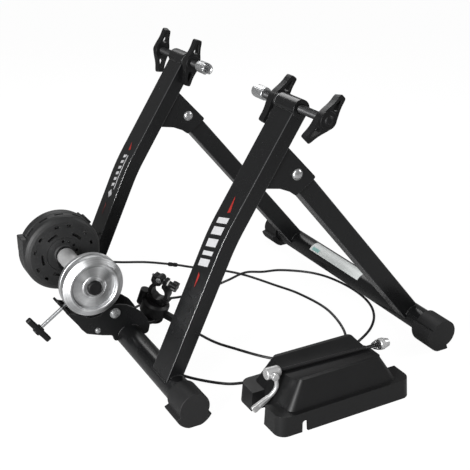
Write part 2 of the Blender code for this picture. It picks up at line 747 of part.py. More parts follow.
def tee_handle(name, side, angle):
    """The T-handle on the spindle's outer end."""
    made, other = grip(name, side, TEE_INNER + TEE_HUB_LENGTH / 2, TEE_THICKNESS, TEE_SPAN, angle, TEE_SWEEP)
    outer = TEE_INNER + TEE_HUB_LENGTH
    hub = turned("hub", [(0.0, outer + TEE_DOME_HEIGHT), (TEE_DOME_RADIUS * 0.6, outer + TEE_DOME_HEIGHT * 0.8),
                         (TEE_DOME_RADIUS, outer), (TEE_HUB_RADIUS - 0.001, outer), (TEE_HUB_RADIUS, outer - 0.001),
                         (TEE_HUB_RADIUS, TEE_INNER), (0.0, TEE_INNER)], ROUND_SIDES)
    face_out(hub, SPINDLE_X, SPINDLE_Z, 0.0, side)
    socket = along_y("socket", SPINDLE_X, SPINDLE_Z, side * (TEE_INNER - 0.006), side * (TEE_INNER + TEE_SOCKET),
                     SPINDLE_RADIUS + GAP, SMALL_SIDES)
    join(made, hub, other)
    return cut(made, socket)


def lock_wing(name, side, angle):
    """The wing nut that locks the spindle against the upright."""
    outer = SLEEVE_INNER - 2 * GAP - LOCK_WASHER
    inner = outer - LOCK_HUB_LENGTH
    made, other = grip(name, side, inner + 0.001 + LOCK_THICKNESS / 2, LOCK_THICKNESS, LOCK_SPAN, angle, 0.0)
    hub = along_y("hub", SPINDLE_X, SPINDLE_Z, side * inner, side * outer, LOCK_HUB_RADIUS, ROUND_SIDES)
    bore = along_y("bore", SPINDLE_X, SPINDLE_Z, side * (inner - 0.002), side * (outer + 0.002),
                   SPINDLE_RADIUS + RUN, SMALL_SIDES)
    join(made, hub, other)
    return cut(made, bore)


def lock_washer(name, side):
    """The bright washer between wing nut and upright."""
    high = SLEEVE_INNER - GAP
    made = ring(name, LOCK_WASHER_RADIUS, SPINDLE_RADIUS + RUN, high - LOCK_WASHER, high, ROUND_SIDES)
    face_out(made, SPINDLE_X, SPINDLE_Z, 0.0, side)
    return place(made, name, BRIGHT_STEEL)


# Unit bracket and adjuster
def bracket():
    """Two plates that saddle the rear cross tube, joined by the adjuster's folded tab."""
    along = Vector((math.cos(ADJUST_ANGLE), 0.0, math.sin(ADJUST_ANGLE)))
    up = Vector((-math.sin(ADJUST_ANGLE), 0.0, math.cos(ADJUST_ANGLE)))
    corner_low = TAB - up * 0.0235
    corner_high = TAB + up * 0.004
    loop = [(corner_high.x, corner_high.z), (corner_low.x, corner_low.z), (-0.0698, 0.0535), (-0.0630, 0.0454),
            (-0.0515, 0.0410), (-0.0400, 0.0370), (-0.0250, 0.0330), (-0.0235, 0.0230), (0.0290, 0.0230),
            (0.0320, 0.0365), (0.0277, 0.0473), (0.0204, 0.0589), (0.0101, 0.0679), (-0.0017, 0.0755),
            (-0.0121, 0.0790), (-0.0230, 0.0805), (-0.0330, 0.0765), (-0.0420, 0.0690), (-0.0560, 0.0680),
            (-0.0700, 0.0760)]
    half = BRACKET_HALF - BRACKET_WALL / 2
    near = side_plate("unit_bracket", [loop], -half, BRACKET_WALL)
    far = side_plate("far_plate", [loop], half, BRACKET_WALL)
    tab = outline("tab", [[(-BRACKET_HALF + 0.0002, -0.0235), (BRACKET_HALF - 0.0002, -0.0235),
                           (BRACKET_HALF - 0.0002, -0.001), (TAB_WIDTH / 2, 0.006)]
                          + arc(0, 0.010, TAB_WIDTH / 2, 0, 180, 8)
                          + [(-TAB_WIDTH / 2, 0.006), (-BRACKET_HALF + 0.0002, -0.001)]], TAB_WALL)
    tab.matrix_world = Matrix.Translation(TAB + along * TAB_WALL / 2) @ Matrix((
        (0.0, up.x, -along.x, 0.0), (-1.0, 0.0, 0.0, 0.0), (0.0, up.z, -along.z, 0.0), (0.0, 0.0, 0.0, 1.0)))
    tab = meshed(tab)
    tube = along_y("tube", 0.0, TUBE_HEIGHT, -0.04, 0.04, TUBE_RADIUS + GAP, TUBE_SIDES)
    pin = along_y("pin", SWING_X, SWING_Z, -0.04, 0.04, SWING_BOLT_RADIUS + GAP, SMALL_SIDES)
    small = along_y("small", SMALL_BOLT_X, SMALL_BOLT_Z, -0.04, 0.04, SMALL_BOLT_RADIUS + GAP, PIN_SIDES)
    screw = rod("screw", TAB - along * 0.01, TAB + along * 0.02, SCREW_RADIUS + GAP, SMALL_SIDES)
    place(near, "unit_bracket", BLACK_PAINT)
    join(near, far, tab)
    cut(near, tube, pin, small, screw)
    return near


def through_bolt(name, x, z, half, radius, head, height):
    """A bolt along Y through both bracket plates, with a head at each end."""
    half += GAP
    top = half + height
    profile = [(0.0, top), (head * 0.72, top), (head, top - height * 0.35), (head, half), (radius, half),
               (radius, -half), (head, -half), (head, -top + height * 0.35), (head * 0.72, -top), (0.0, -top)]
    made = turned(name, profile, SMALL_SIDES)
    face_out(made, x, z, 0.0, 1)
    return place(made, name, BRIGHT_STEEL)


def swing_arm():
    """The arm that carries the unit: lugs on the bolt, an inclined web, and an ear at each roller end."""
    along = Vector((math.cos(ADJUST_ANGLE), 0.0, math.sin(ADJUST_ANGLE)))
    up = Vector((-math.sin(ADJUST_ANGLE), 0.0, math.cos(ADJUST_ANGLE)))
    lug_outer = BRACKET_HALF - BRACKET_WALL - 0.0005
    hit = TAB + along * SCREW_TO_ARM
    web_low = hit - up * 0.022
    web_high = hit + up * 0.020
    lug_loop = arc(SWING_X, SWING_Z, 0.0105, -150, 20, 8) + [
        (-0.0300, 0.1020), (web_high.x + along.x * EAR_WALL, web_high.z + along.z * EAR_WALL),
        (web_high.x, web_high.z), (web_low.x, web_low.z)]
    near = side_plate("swing_arm", [lug_loop], -(lug_outer - EAR_WALL / 2), EAR_WALL)
    far = side_plate("far_lug", [lug_loop], lug_outer - EAR_WALL / 2, EAR_WALL)
    ear_loop = arc(AXLE_X, AXLE_Z, 0.0125, -5, 200, 12) + [
        (web_high.x - 0.002, web_high.z + 0.004), (hit.x, hit.z), (hit.x + along.x * EAR_WALL, hit.z + along.z * EAR_WALL),
        (-0.0440, 0.1130)]
    near_ear = side_plate("near_ear", [ear_loop], NEAR_EAR, EAR_WALL)
    far_ear = side_plate("far_ear", [ear_loop], FAR_EAR, EAR_WALL)
    turn = Matrix(((along.x, 0.0, up.x, 0.0), (0.0, 1.0, 0.0, 0.0), (along.z, 0.0, up.z, 0.0), (0, 0, 0, 1.0)))
    web = box("web", (0.0, -lug_outer + 0.0001, -0.022), (EAR_WALL, lug_outer - 0.0001, 0.0))
    wide = box("wide", (0.0, NEAR_EAR - EAR_WALL / 2 + 0.0001, -0.002), (EAR_WALL, FAR_EAR + EAR_WALL / 2 - 0.0001, 0.0195))
    for piece in (web, wide):
        piece.matrix_world = Matrix.Translation(hit) @ turn
    pin = along_y("pin", SWING_X, SWING_Z, -0.04, 0.04, SWING_BOLT_RADIUS + RUN, SMALL_SIDES)
    seat = along_y("seat", AXLE_X, AXLE_Z, NEAR_EAR - 0.01, FAR_EAR + 0.01, BEARING_RADIUS + GAP, ROUND_SIDES)
    place(near, "swing_arm", BLACK_PAINT)
    join(near, far, near_ear, far_ear, web, wide)
    cut(near, pin, seat)
    return near


def adjuster():
    """The adjuster screw through the tab and its T-knob."""
    along = Vector((math.cos(ADJUST_ANGLE), 0.0, math.sin(ADJUST_ANGLE)))
    up = Vector((-math.sin(ADJUST_ANGLE), 0.0, math.cos(ADJUST_ANGLE)))
    knob_inner = TAB - along * SCREW_TO_KNOB
    tip = SCREW_TO_ARM - SCREW_TIP_GAP
    screw = turned("adjuster_screw", [(0.0, tip), (SCREW_TIP_RADIUS, tip), (SCREW_RADIUS, tip - 0.0025),
                                      (SCREW_RADIUS, -SCREW_TO_KNOB - KNOB_LENGTH * 0.7),
                                      (0.0, -SCREW_TO_KNOB - KNOB_LENGTH * 0.7)], SMALL_SIDES)
    screw.matrix_world = (Matrix.Translation(TAB)
                          @ Vector((0, 0, 1)).rotation_difference(along).to_matrix().to_4x4())
    place(screw, "adjuster_screw", BRIGHT_STEEL)
    half = KNOB_SPAN / 2
    loop = (arc(half - 0.004, 0, 0.004, -90, 90, 6) + [(0.010, 0.0045), (0.006, 0.0062), (-0.006, 0.0062), (-0.010, 0.0045)]
            + arc(-half + 0.004, 0, 0.004, 90, 270, 6) + [(-0.010, -0.0045), (-0.006, -0.0062), (0.006, -0.0062), (0.010, -0.0045)])
    knob = outline("adjuster_knob", [loop], KNOB_THICKNESS * 0.75)
    knob.matrix_world = Matrix.Translation(knob_inner - along * KNOB_LENGTH * 0.5) @ Matrix((
        (up.x, 0.0, along.x, 0.0), (0.0, 1.0, 0.0, 0.0), (up.z, 0.0, along.z, 0.0), (0, 0, 0, 1.0)))
    knob = meshed(knob)
    hub = rod("hub", knob_inner - along * KNOB_LENGTH, knob_inner, 0.0058, SMALL_SIDES)
    hole = rod("hole", knob_inner - along * (KNOB_LENGTH * 0.7 + GAP), knob_inner + along * 0.004, SCREW_RADIUS + GAP, SMALL_SIDES)
    place(knob, "adjuster_knob", BLACK_PLASTIC)
    join(knob, hub)
    cut(knob, hole)


# Resistance unit
def rotor_parts():
    """Shaft, roller, flywheel with its cap, and the rotor disc inside the housing."""
    start = FLYWHEEL_FACE + 0.004
    end = HOUSING_BACK - HOUSING_WALL - 0.004
    shaft = along_y("roller_shaft", AXLE_X, AXLE_Z, start, end, AXLE_RADIUS, SMALL_SIDES)
    place(shaft, "roller_shaft", GREY_STEEL)
    bore = AXLE_RADIUS + GAP
    roller = turned("roller", [(bore, ROLLER_END), (ROLLER_RADIUS - 0.001, ROLLER_END),
                               (ROLLER_RADIUS, ROLLER_END - 0.001), (ROLLER_RADIUS, ROLLER_START + 0.001),
                               (ROLLER_RADIUS - 0.001, ROLLER_START), (bore, ROLLER_START)], TUBE_SIDES, True)
    face_out(roller, AXLE_X, AXLE_Z, 0.0, 1)
    place(roller, "roller", BRIGHT_STEEL)
    face = 0.0
    back = -FLYWHEEL_WIDTH
    rim = FLYWHEEL_RADIUS
    profile = [(bore, face - 0.0035), (0.0118, face - 0.0035), (0.0150, face - 0.0025), (0.0160, face - 0.0035),
               (rim - 0.0150, face - 0.0060), (rim - 0.0130, face - 0.0060), (rim - 0.0112, face - 0.0006),
               (rim - 0.0080, face - 0.0006), (rim, face - 0.0070), (rim, face - 0.0140),
               (rim - 0.0035, face - 0.0150), (rim - 0.0035, face - 0.0175), (rim, face - 0.0185),
               (rim, back), (bore, back)]
    wheel = turned("flywheel", profile, WHEEL_SIDES, True)
    face_out(wheel, AXLE_X, AXLE_Z, -FLYWHEEL_FACE, -1)
    place(wheel, "flywheel", TURNED_METAL)
    cap = turned("flywheel_cap", [(0.0, 0.0012), (CAP_RADIUS - 0.0018, 0.0012), (CAP_RADIUS, -0.0004),
                                  (CAP_RADIUS, -0.0032), (0.0, -0.0032)], ROUND_SIDES)
    face_out(cap, AXLE_X, AXLE_Z, -FLYWHEEL_FACE, -1)
    place(cap, "flywheel_cap", BLACK_PLASTIC)
    low = ROTOR_HUB_END - ROTOR_HUB_LENGTH
    disc = turned("rotor_disc", [(bore, ROTOR_HUB_END), (ROTOR_HUB_RADIUS, ROTOR_HUB_END),
                                 (ROTOR_HUB_RADIUS, low + ROTOR_WIDTH), (ROTOR_RADIUS, low + ROTOR_WIDTH),
                                 (ROTOR_RADIUS, low), (bore, low)], DISC_SIDES, True)
    face_out(disc, AXLE_X, AXLE_Z, 0.0, 1)
    place(disc, "rotor_disc", TURNED_METAL)
    for label, y in (("near", NEAR_EAR), ("far", FAR_EAR)):
        bearing = ring(f"{label}_bearing", BEARING_RADIUS, AXLE_RADIUS + RUN, y - BEARING_WIDTH / 2,
                       y + BEARING_WIDTH / 2, ROUND_SIDES)
        face_out(bearing, AXLE_X, AXLE_Z, 0.0, 1)
        place(bearing, f"{label}_bearing", GREY_STEEL)
    carrier = ring("magnet_carrier", CARRIER_RADIUS, CARRIER_BORE, CARRIER_NEAR, CARRIER_FAR, DISC_SIDES)
    face_out(carrier, AXLE_X, AXLE_Z, 0.0, 1)
    place(carrier, "magnet_carrier", BLACK_PLASTIC)


def slot_cutter(name, radius, middle, span, width, y0, y1):
    """A curved slot cutter on the housing's face, angles in degrees round the axle."""
    outer = arc(0, 0, radius + width / 2, middle - span / 2, middle + span / 2, max(2, round(span / 8)))
    inner = arc(0, 0, radius - width / 2, middle + span / 2, middle - span / 2, max(2, round(span / 8)))
    loop = [(AXLE_X + x, AXLE_Z + z) for x, z in outer + inner]
    return side_plate(name, [loop], (y0 + y1) / 2, abs(y1 - y0))


FACE_SLOT_WIDTH = 0.0026
FACE_SLOTS = [(HOUSING_RADIUS - 0.0137, a, 8) for a in (14, 39, 76, 100, 139, 165, 203, 229)]
MIDDLE_SLOTS = [(HOUSING_RADIUS - 0.0247, a, 26) for a in (49, 118, 186, 250)]
FACE_HOLES = [(HOUSING_RADIUS - 0.0372, a) for a in (8, 35, 62, 89)]
RIM_SLOTS = (62, 89, 113, 138)


def housing():
    """The magnet housing's two covers, the front one slotted for cooling."""
    inner = HOUSING_RADIUS - HOUSING_WALL
    neck = AXLE_RADIUS + 0.0025
    seat = FAR_EAR + EAR_WALL / 2 + GAP
    front = turned("housing_front", [
        (inner, HOUSING_SPLIT), (HOUSING_RADIUS, HOUSING_SPLIT), (HOUSING_RADIUS, HOUSING_FACE + 0.004),
        (HOUSING_RADIUS - 0.0040, HOUSING_FACE), (0.0250, HOUSING_FACE), (0.0240, HOUSING_FACE + 0.0008),
        (0.0140, HOUSING_FACE + 0.0008), (NECK_RADIUS, HOUSING_FACE - 0.0002), (NECK_RADIUS, seat),
        (BEARING_RADIUS + GAP, seat), (BEARING_RADIUS + GAP, seat + BEARING_WIDTH / 2), (neck, seat + BEARING_WIDTH / 2),
        (neck, HOUSING_FACE + 0.0035), (inner - 0.001, HOUSING_FACE + 0.0035)][::-1], HOUSING_SIDES, True)
    face_out(front, AXLE_X, AXLE_Z, 0.0, 1)
    y0 = HOUSING_FACE - 0.002
    y1 = HOUSING_FACE + 0.006
    cutters = []
    for number, (radius, middle, span) in enumerate(FACE_SLOTS + MIDDLE_SLOTS):
        cutters.append(slot_cutter(f"slot_{number}", radius, middle, span, FACE_SLOT_WIDTH, y0, y1))
    for number, (radius, angle) in enumerate(FACE_HOLES):
        a = math.radians(angle)
        cutters.append(along_y(f"hole_{number}", AXLE_X + radius * math.cos(a), AXLE_Z + radius * math.sin(a),
                               y0, y1, 0.0016, PIN_SIDES))
    for number, angle in enumerate(RIM_SLOTS):
        cutters.append(slot_cutter(f"rim_{number}", HOUSING_RADIUS, angle, 12, 0.012, 0.0610, 0.0645))
    place(front, "housing_front", BLACK_PLASTIC)
    lug_outer = AXLE_X - HOUSING_RADIUS - LUG_OUT
    lug = box("lug", (lug_outer, HOUSING_FACE + 0.0073, AXLE_Z + LUG_LOW),
              (lug_outer + LUG_DEPTH, HOUSING_SPLIT, AXLE_Z + LUG_HIGH))
    join(front, lug)
    cut(front, *cutters)
    back = turned("housing_back", [
        (0.0, HOUSING_BACK), (HOUSING_RADIUS - 0.006, HOUSING_BACK), (HOUSING_RADIUS, HOUSING_BACK - 0.005),
        (HOUSING_RADIUS, HOUSING_SPLIT + GAP), (inner, HOUSING_SPLIT + GAP), (inner, HOUSING_BACK - HOUSING_WALL - 0.003),
        (CARRIER_SPIGOT, HOUSING_BACK - HOUSING_WALL), (CARRIER_SPIGOT, CARRIER_FAR - CARRIER_SEAT),
        (0.0075, CARRIER_FAR - CARRIER_SEAT), (0.0075, HOUSING_BACK - HOUSING_WALL),
        (0.0, HOUSING_BACK - HOUSING_WALL)], HOUSING_SIDES)
    face_out(back, AXLE_X, AXLE_Z, 0.0, 1)
    cable_block = box("cable_block", (CABLE_OUT - CABLE_BLOCK_DEPTH / 2, HOUSING_SPLIT + GAP, -CABLE_BLOCK_WIDTH / 2),
                      (CABLE_OUT + CABLE_BLOCK_DEPTH / 2, HOUSING_BACK, CABLE_BLOCK_WIDTH / 2))
    cable_block.matrix_world = (Matrix.Translation((AXLE_X, 0, AXLE_Z))
                                @ Matrix.Rotation(-CABLE_BLOCK_ANGLE, 4, "Y"))
    place(back, "housing_back", BLACK_PLASTIC)
    back_lug = box("back_lug", (lug_outer, HOUSING_SPLIT + GAP, AXLE_Z + LUG_LOW),
                   (lug_outer + LUG_DEPTH, HOUSING_BACK - 0.006, AXLE_Z + LUG_HIGH))
    join(back, cable_block, back_lug)


# Control cable
def boot_line():
    """Where the cable leaves the housing, and the way it points."""
    start = Vector((AXLE_X + CABLE_OUT * math.cos(CABLE_BLOCK_ANGLE), HOUSING_BACK + GAP,
                    AXLE_Z + CABLE_OUT * math.sin(CABLE_BLOCK_ANGLE)))
    return start, Vector((0.0, 1.0, 0.0))


def shifter_exit():
    """Where the cable leaves the shifter's boss, and the way it points."""
    start = SHIFTER_MATRIX @ Vector((BOSS_END, 0.0, 0.0052))
    way = (SHIFTER_MATRIX.to_3x3() @ Vector((1.0, 0.0, 0.0))).normalized()
    return start, way


FLOOR_CABLE = CABLE_RADIUS + 0.0008
OVER_CABLE = FLOOR_CABLE + 2 * CABLE_RADIUS + 3 * GAP
JOINER_HEIGHT = JOINER_RADIUS + GAP
CABLE_ROUTE = [
    (-0.0130, 0.1180, 0.1600), (0.0000, 0.1500, 0.1340), (0.0120, 0.1800, 0.1080), (0.0300, 0.2150, 0.0720),
    (0.0540, 0.2450, 0.0360), (0.0780, 0.2640, 0.0110), (0.1000, 0.2660, FLOOR_CABLE),
    (0.1391, 0.2449, FLOOR_CABLE), (0.1680, 0.2185, JOINER_HEIGHT), (0.1850, 0.2025, JOINER_HEIGHT),
    (0.2022, 0.1868, FLOOR_CABLE), (0.2400, 0.1520, FLOOR_CABLE), (0.2670, 0.1148, FLOOR_CABLE),
    (0.2919, 0.0573, FLOOR_CABLE), (0.3104, 0.0094, FLOOR_CABLE), (0.3190, -0.0589, FLOOR_CABLE),
    (0.2998, -0.1324, FLOOR_CABLE), (0.2650, -0.1680, FLOOR_CABLE), (0.2200, -0.1850, FLOOR_CABLE),
    (0.1600, -0.1920, FLOOR_CABLE), (0.1000, -0.1800, FLOOR_CABLE), (0.0719, -0.1657, FLOOR_CABLE),
    (0.0381, -0.1271, FLOOR_CABLE), (0.0270, -0.0900, FLOOR_CABLE), (0.0262, -0.0450, FLOOR_CABLE),
    (0.0270, 0.0000, FLOOR_CABLE), (0.0290, 0.0450, FLOOR_CABLE), (0.0520, 0.0900, FLOOR_CABLE),
    (0.0950, 0.1010, FLOOR_CABLE), (0.1400, 0.0930, FLOOR_CABLE), (0.1850, 0.0980, FLOOR_CABLE),
    (0.2325, 0.1114, FLOOR_CABLE), (0.2670, 0.1148, OVER_CABLE), (0.3000, 0.1120, FLOOR_CABLE),
    (0.3295, 0.1036, FLOOR_CABLE), (0.3640, 0.0770, FLOOR_CABLE), (0.3840, 0.0466, FLOOR_CABLE),
    (0.3945, 0.0050, FLOOR_CABLE), (0.3960, -0.0372, FLOOR_CABLE), (0.3880, -0.0760, FLOOR_CABLE),
    (0.3702, -0.1095, FLOOR_CABLE), (0.3440, -0.1370, FLOOR_CABLE), (0.3131, -0.1569, FLOOR_CABLE),
    (0.2820, -0.1700, FLOOR_CABLE), (0.2480, -0.1760, OVER_CABLE), (0.2100, -0.1700, FLOOR_CABLE),
    (0.1659, -0.1421, FLOOR_CABLE), (0.1295, -0.0870, FLOOR_CABLE), (0.1171, -0.0637, FLOOR_CABLE),
    (0.1085, -0.0352, FLOOR_CABLE)]


def cable():
    """The control cable on the floor, from the housing's boot to the shifter, with its joiner."""
    start, out = boot_line()
    exit_point, way = shifter_exit()
    boot = rod("cable_boot", start, start + out * CABLE_BOOT_LENGTH, CABLE_BOOT_RADIUS, 16, CABLE_RADIUS)
    place(boot, "cable_boot", BLACK_RUBBER)
    route = ([start + out * CABLE_LEAD] + [Vector(p) for p in CABLE_ROUTE]
             + [exit_point + way * (CABLE_LEAD - CABLE_BOOT_LENGTH)])
    points = ([start + out * (CABLE_BOOT_LENGTH + GAP)] + smooth_route(route, CABLE_STEP)
              + [exit_point + way * GAP])
    place(tube_through("control_cable", points, CABLE_RADIUS), "control_cable", BLACK_RUBBER)
    middle = (Vector(CABLE_ROUTE[8]) + Vector(CABLE_ROUTE[9])) / 2
    line = (Vector(CABLE_ROUTE[9]) - Vector(CABLE_ROUTE[8])).normalized()
    joiner = ring("cable_joiner", JOINER_RADIUS, CABLE_RADIUS + 0.0006, -JOINER_LENGTH / 2, JOINER_LENGTH / 2, SMALL_SIDES)
    turn = Vector((0, 0, 1)).rotation_difference(line).to_matrix().to_4x4()
    joiner.matrix_world = Matrix.Translation(middle) @ turn
    place(joiner, "cable_joiner", BLACK_PLASTIC)


# Shifter
def local(made):
    """Put a piece that was built in the shifter's frame in its place."""
    bpy.context.view_layer.update()
    made.matrix_world = SHIFTER_MATRIX @ made.matrix_world
    return made


def shifter_body():
    """The shifter's drum with its clamp half, nut barrel, side barrel, cable boss and pivot spigot."""
    drum = turned("shifter_body", [(0.0, 0.0205), (DRUM_RADIUS - 0.0035, 0.0205), (DRUM_RADIUS, 0.0170),
                                   (DRUM_RADIUS, 0.0), (SPIGOT, 0.0), (SPIGOT, LEVER_LOW), (0.0, LEVER_LOW)], TUBE_SIDES)
    neck = box("neck", (-0.0150, -0.0090, 0.0190), (0.0135, 0.0090, 0.0300))
    band = side_plate("band", [arc(0, RING_HEIGHT, RING_OUTER, 102, 322, 20)
                               + arc(0, RING_HEIGHT, RING_BORE, 322, 102, 18)], 0.0, RING_WIDTH)
    ear = side_plate("ear", [[(-0.0004, 0.0518), (-0.0004, SCREW_LINE + 0.0030), (-0.0170, SCREW_LINE + 0.0030),
                              (-0.0170, 0.0535), (-0.0120, 0.0480)]], 0.0, RING_WIDTH)
    barrel = along_y("barrel", NUT_X, SCREW_LINE, -NUT_HALF + GAP, NUT_HALF - GAP, NUT_RADIUS + 0.0016, SMALL_SIDES)
    side = rod("side", (-0.0225, 0.0, 0.0030), (-0.0225, 0.0, 0.0290), 0.0078, SMALL_SIDES)
    arm = box("arm", (-0.0225, -0.0060, 0.0040), (-0.0150, 0.0060, 0.0270))
    boss = box("boss", (0.0150, -0.0046, 0.0012), (BOSS_END, 0.0046, 0.0098))
    joint = along_y("joint", JAW_PIN_X, JAW_PIN_Z, -RING_WIDTH / 2, RING_WIDTH / 2, 0.0032, SMALL_SIDES)
    foot_block = box("foot_block", (0.0090, -RING_WIDTH / 2, 0.0268), (JAW_PIN_X, RING_WIDTH / 2, 0.0322))
    bore = along_y("bore", 0.0, RING_HEIGHT, -0.02, 0.02, RING_BORE, TUBE_SIDES)
    relief = along_y("relief", JAW_PIN_X, JAW_PIN_Z, -KNUCKLE_HALF - RUN, KNUCKLE_HALF + RUN, 0.0038, SMALL_SIDES)
    pin = along_y("pin", JAW_PIN_X, JAW_PIN_Z, -0.02, 0.02, JAW_PIN_RADIUS + RUN, PIN_SIDES)
    nut_seat = along_y("nut_seat", NUT_X, SCREW_LINE, -0.02, 0.02, NUT_RADIUS + GAP, SMALL_SIDES)
    screw_way = rod("screw_way", (-0.03, 0, SCREW_LINE), (0.01, 0, SCREW_LINE), CLAMP_SCREW_RADIUS + RUN, PIN_SIDES)
    pieces = [neck, band, ear, barrel, side, arm, boss, joint, foot_block]
    cuts = [bore, relief, pin, nut_seat, screw_way]
    for made in [drum] + pieces + cuts:
        local(made)
    place(drum, "shifter_body", BLACK_PLASTIC)
    join(drum, *pieces)
    cut(drum, *cuts)


def shifter_parts():
    """The dial, the thumb lever and the clamp's moving pieces."""
    dial = turned("shifter_dial", [(0.0, LEVER_LOW - GAP), (DIAL_RADIUS, LEVER_LOW - GAP), (DIAL_RADIUS, -0.0095),
                                   (DIAL_RADIUS - 0.0015, -0.0108), (0.0, -0.0108)], TUBE_SIDES)
    place(local(dial), "shifter_dial", BLACK_PLASTIC)
    outer = arc(PADDLE_X, 0.0, PADDLE_BEND, -PADDLE_HALF_ANGLE, PADDLE_HALF_ANGLE, 14)
    inner = [(-0.0035, 0.0345), (-0.0115, 0.0180), (-0.0135, 0.0080), (-0.0135, -0.0080), (-0.0115, -0.0180),
             (-0.0035, -0.0345)]
    lever = outline("shifter_lever", [outer + inner, circle(0, 0, SPIGOT + RUN, 20)[::-1]], LEVER_HIGH - LEVER_LOW)
    lever.location = (0.0, 0.0, (LEVER_HIGH + LEVER_LOW) / 2)
    lever = meshed(lever)
    place(local(lever), "shifter_lever", BLACK_PLASTIC)
    jaw = side_plate("clamp_jaw", [arc(0, RING_HEIGHT, RING_OUTER, -24, 76, 12)
                                   + arc(0, RING_HEIGHT, RING_BORE, 76, -24, 10)], 0.0, RING_WIDTH)
    tab = side_plate("tab", [[(0.0020, 0.0512), (0.0075, 0.0500), (0.0070, SCREW_LINE + 0.0042),
                              (0.0020, SCREW_LINE + 0.0042)]], 0.0, RING_WIDTH - 0.002)
    knuckle = along_y("knuckle", JAW_PIN_X, JAW_PIN_Z, -KNUCKLE_HALF, KNUCKLE_HALF, 0.0032, SMALL_SIDES)
    link = side_plate("link", [[(0.0130, 0.0338), (0.0142, 0.0312), (0.0185, 0.0305), (0.0162, 0.0360)]], 0.0,
                      2 * KNUCKLE_HALF)
    pin = along_y("pin", JAW_PIN_X, JAW_PIN_Z, -RING_WIDTH / 2 + GAP, RING_WIDTH / 2 - GAP, JAW_PIN_RADIUS, PIN_SIDES)
    room = [along_y(f"room_{i}", JAW_PIN_X, JAW_PIN_Z, a, b, 0.0038, SMALL_SIDES)
            for i, (a, b) in enumerate(((-0.02, -KNUCKLE_HALF), (KNUCKLE_HALF, 0.02)))]
    bore = along_y("bore", 0.0, RING_HEIGHT, -0.02, 0.02, RING_BORE, TUBE_SIDES)
    way = rod("way", (-0.01, 0, SCREW_LINE), (0.02, 0, SCREW_LINE), CLAMP_SCREW_RADIUS + 0.0009, PIN_SIDES)
    for made in [jaw, tab, knuckle, link, pin, bore, way] + room:
        local(made)
    place(jaw, "clamp_jaw", BLACK_PLASTIC)
    cut(jaw, *room)
    join(jaw, tab, link, knuckle, pin)
    cut(jaw, bore, way)
    nut = along_y("clamp_nut", NUT_X, SCREW_LINE, -NUT_HALF, NUT_HALF, NUT_RADIUS, SMALL_SIDES)
    cross = rod("cross", (-0.02, 0, SCREW_LINE), (0.02, 0, SCREW_LINE), CLAMP_SCREW_RADIUS + RUN, PIN_SIDES)
    local(nut)
    local(cross)
    place(nut, "clamp_nut", BRIGHT_STEEL)
    cut(nut, cross)
    washer_x = 0.0075 + GAP
    knob_x = washer_x + 0.0020 + GAP
    screw = rod("clamp_screw", (-0.0200, 0, SCREW_LINE), (knob_x + 0.009, 0, SCREW_LINE), CLAMP_SCREW_RADIUS, PIN_SIDES)
    place(local(screw), "clamp_screw", BRIGHT_STEEL)
    washer = ring("clamp_washer", 0.0046, CLAMP_SCREW_RADIUS + RUN, -0.0010, 0.0010, SMALL_SIDES)
    washer.matrix_world = Matrix.Translation((washer_x + 0.0010, 0, SCREW_LINE)) @ Matrix.Rotation(math.pi / 2, 4, "Y")
    place(local(washer), "clamp_washer", WHITE_NYLON)
    lobes = []
    for step in range(48):
        a = 2 * math.pi * step / 48
        r = 0.0078 + 0.0009 * math.cos(6 * a)
        lobes.append((r * math.cos(a), r * math.sin(a)))
    knob = outline("clamp_knob", [lobes], 0.0085)
    knob.matrix_world = (Matrix.Translation((knob_x + 0.0095, 0, SCREW_LINE))
                         @ Matrix.Rotation(math.pi / 2, 4, "Y"))
    knob = meshed(knob)
    collar = rod("collar", (knob_x, 0, SCREW_LINE), (knob_x + 0.0070, 0, SCREW_LINE), 0.0042, SMALL_SIDES)
    socket = rod("socket", (knob_x - 0.002, 0, SCREW_LINE), (knob_x + 0.009 + GAP, 0, SCREW_LINE),
                 CLAMP_SCREW_RADIUS + GAP, PIN_SIDES)
    for made in (knob, collar, socket):
        local(made)
    place(knob, "clamp_knob", BLACK_PLASTIC)
    join(knob, collar)
    cut(knob, socket)


# Riser block
def block_solid(name, inset, low):
    """The block's outer form, or the hollow inside it, moved in by a wall's thickness."""
    def loop(length, width, corner):
        return rounded_rectangle(RISER_X - length / 2 + inset, RISER_Y - width / 2 + inset,
                                 RISER_X + length / 2 - inset, RISER_Y + width / 2 - inset,
                                 max(0.002, corner - inset))

    flange = loft(name, loop(RISER_LENGTH, RISER_WIDTH, FLANGE_CORNER),
                  loop(RISER_LENGTH - 0.003, RISER_WIDTH - 0.003, FLANGE_CORNER), low, FLANGE_HEIGHT - inset)
    body = loft(f"{name}_body", loop(BODY_LENGTH, BODY_WIDTH, BODY_CORNER), loop(CROWN_LENGTH, CROWN_WIDTH, 0.006),
                FLANGE_HEIGHT - inset - 0.0005, RISER_HEIGHT + 0.0005)
    centre = RISER_HEIGHT - GROOVE_DEPTH + GROOVE_RADIUS
    groove = rod(f"{name}_groove", (RISER_X - 0.2, RISER_Y, centre), (RISER_X + 0.2, RISER_Y, centre),
                 GROOVE_RADIUS + inset, ARC_SIDES)
    top = box(f"{name}_top", (RISER_X - 0.2, RISER_Y - 0.1, RISER_HEIGHT - inset),
              (RISER_X + 0.2, RISER_Y + 0.1, RISER_HEIGHT + 0.02))
    for piece in (body, groove, top):
        place(piece, piece.name, None, guide=True)
    join(flange, body)
    cut(flange, groove, top)
    return meshed(flange)


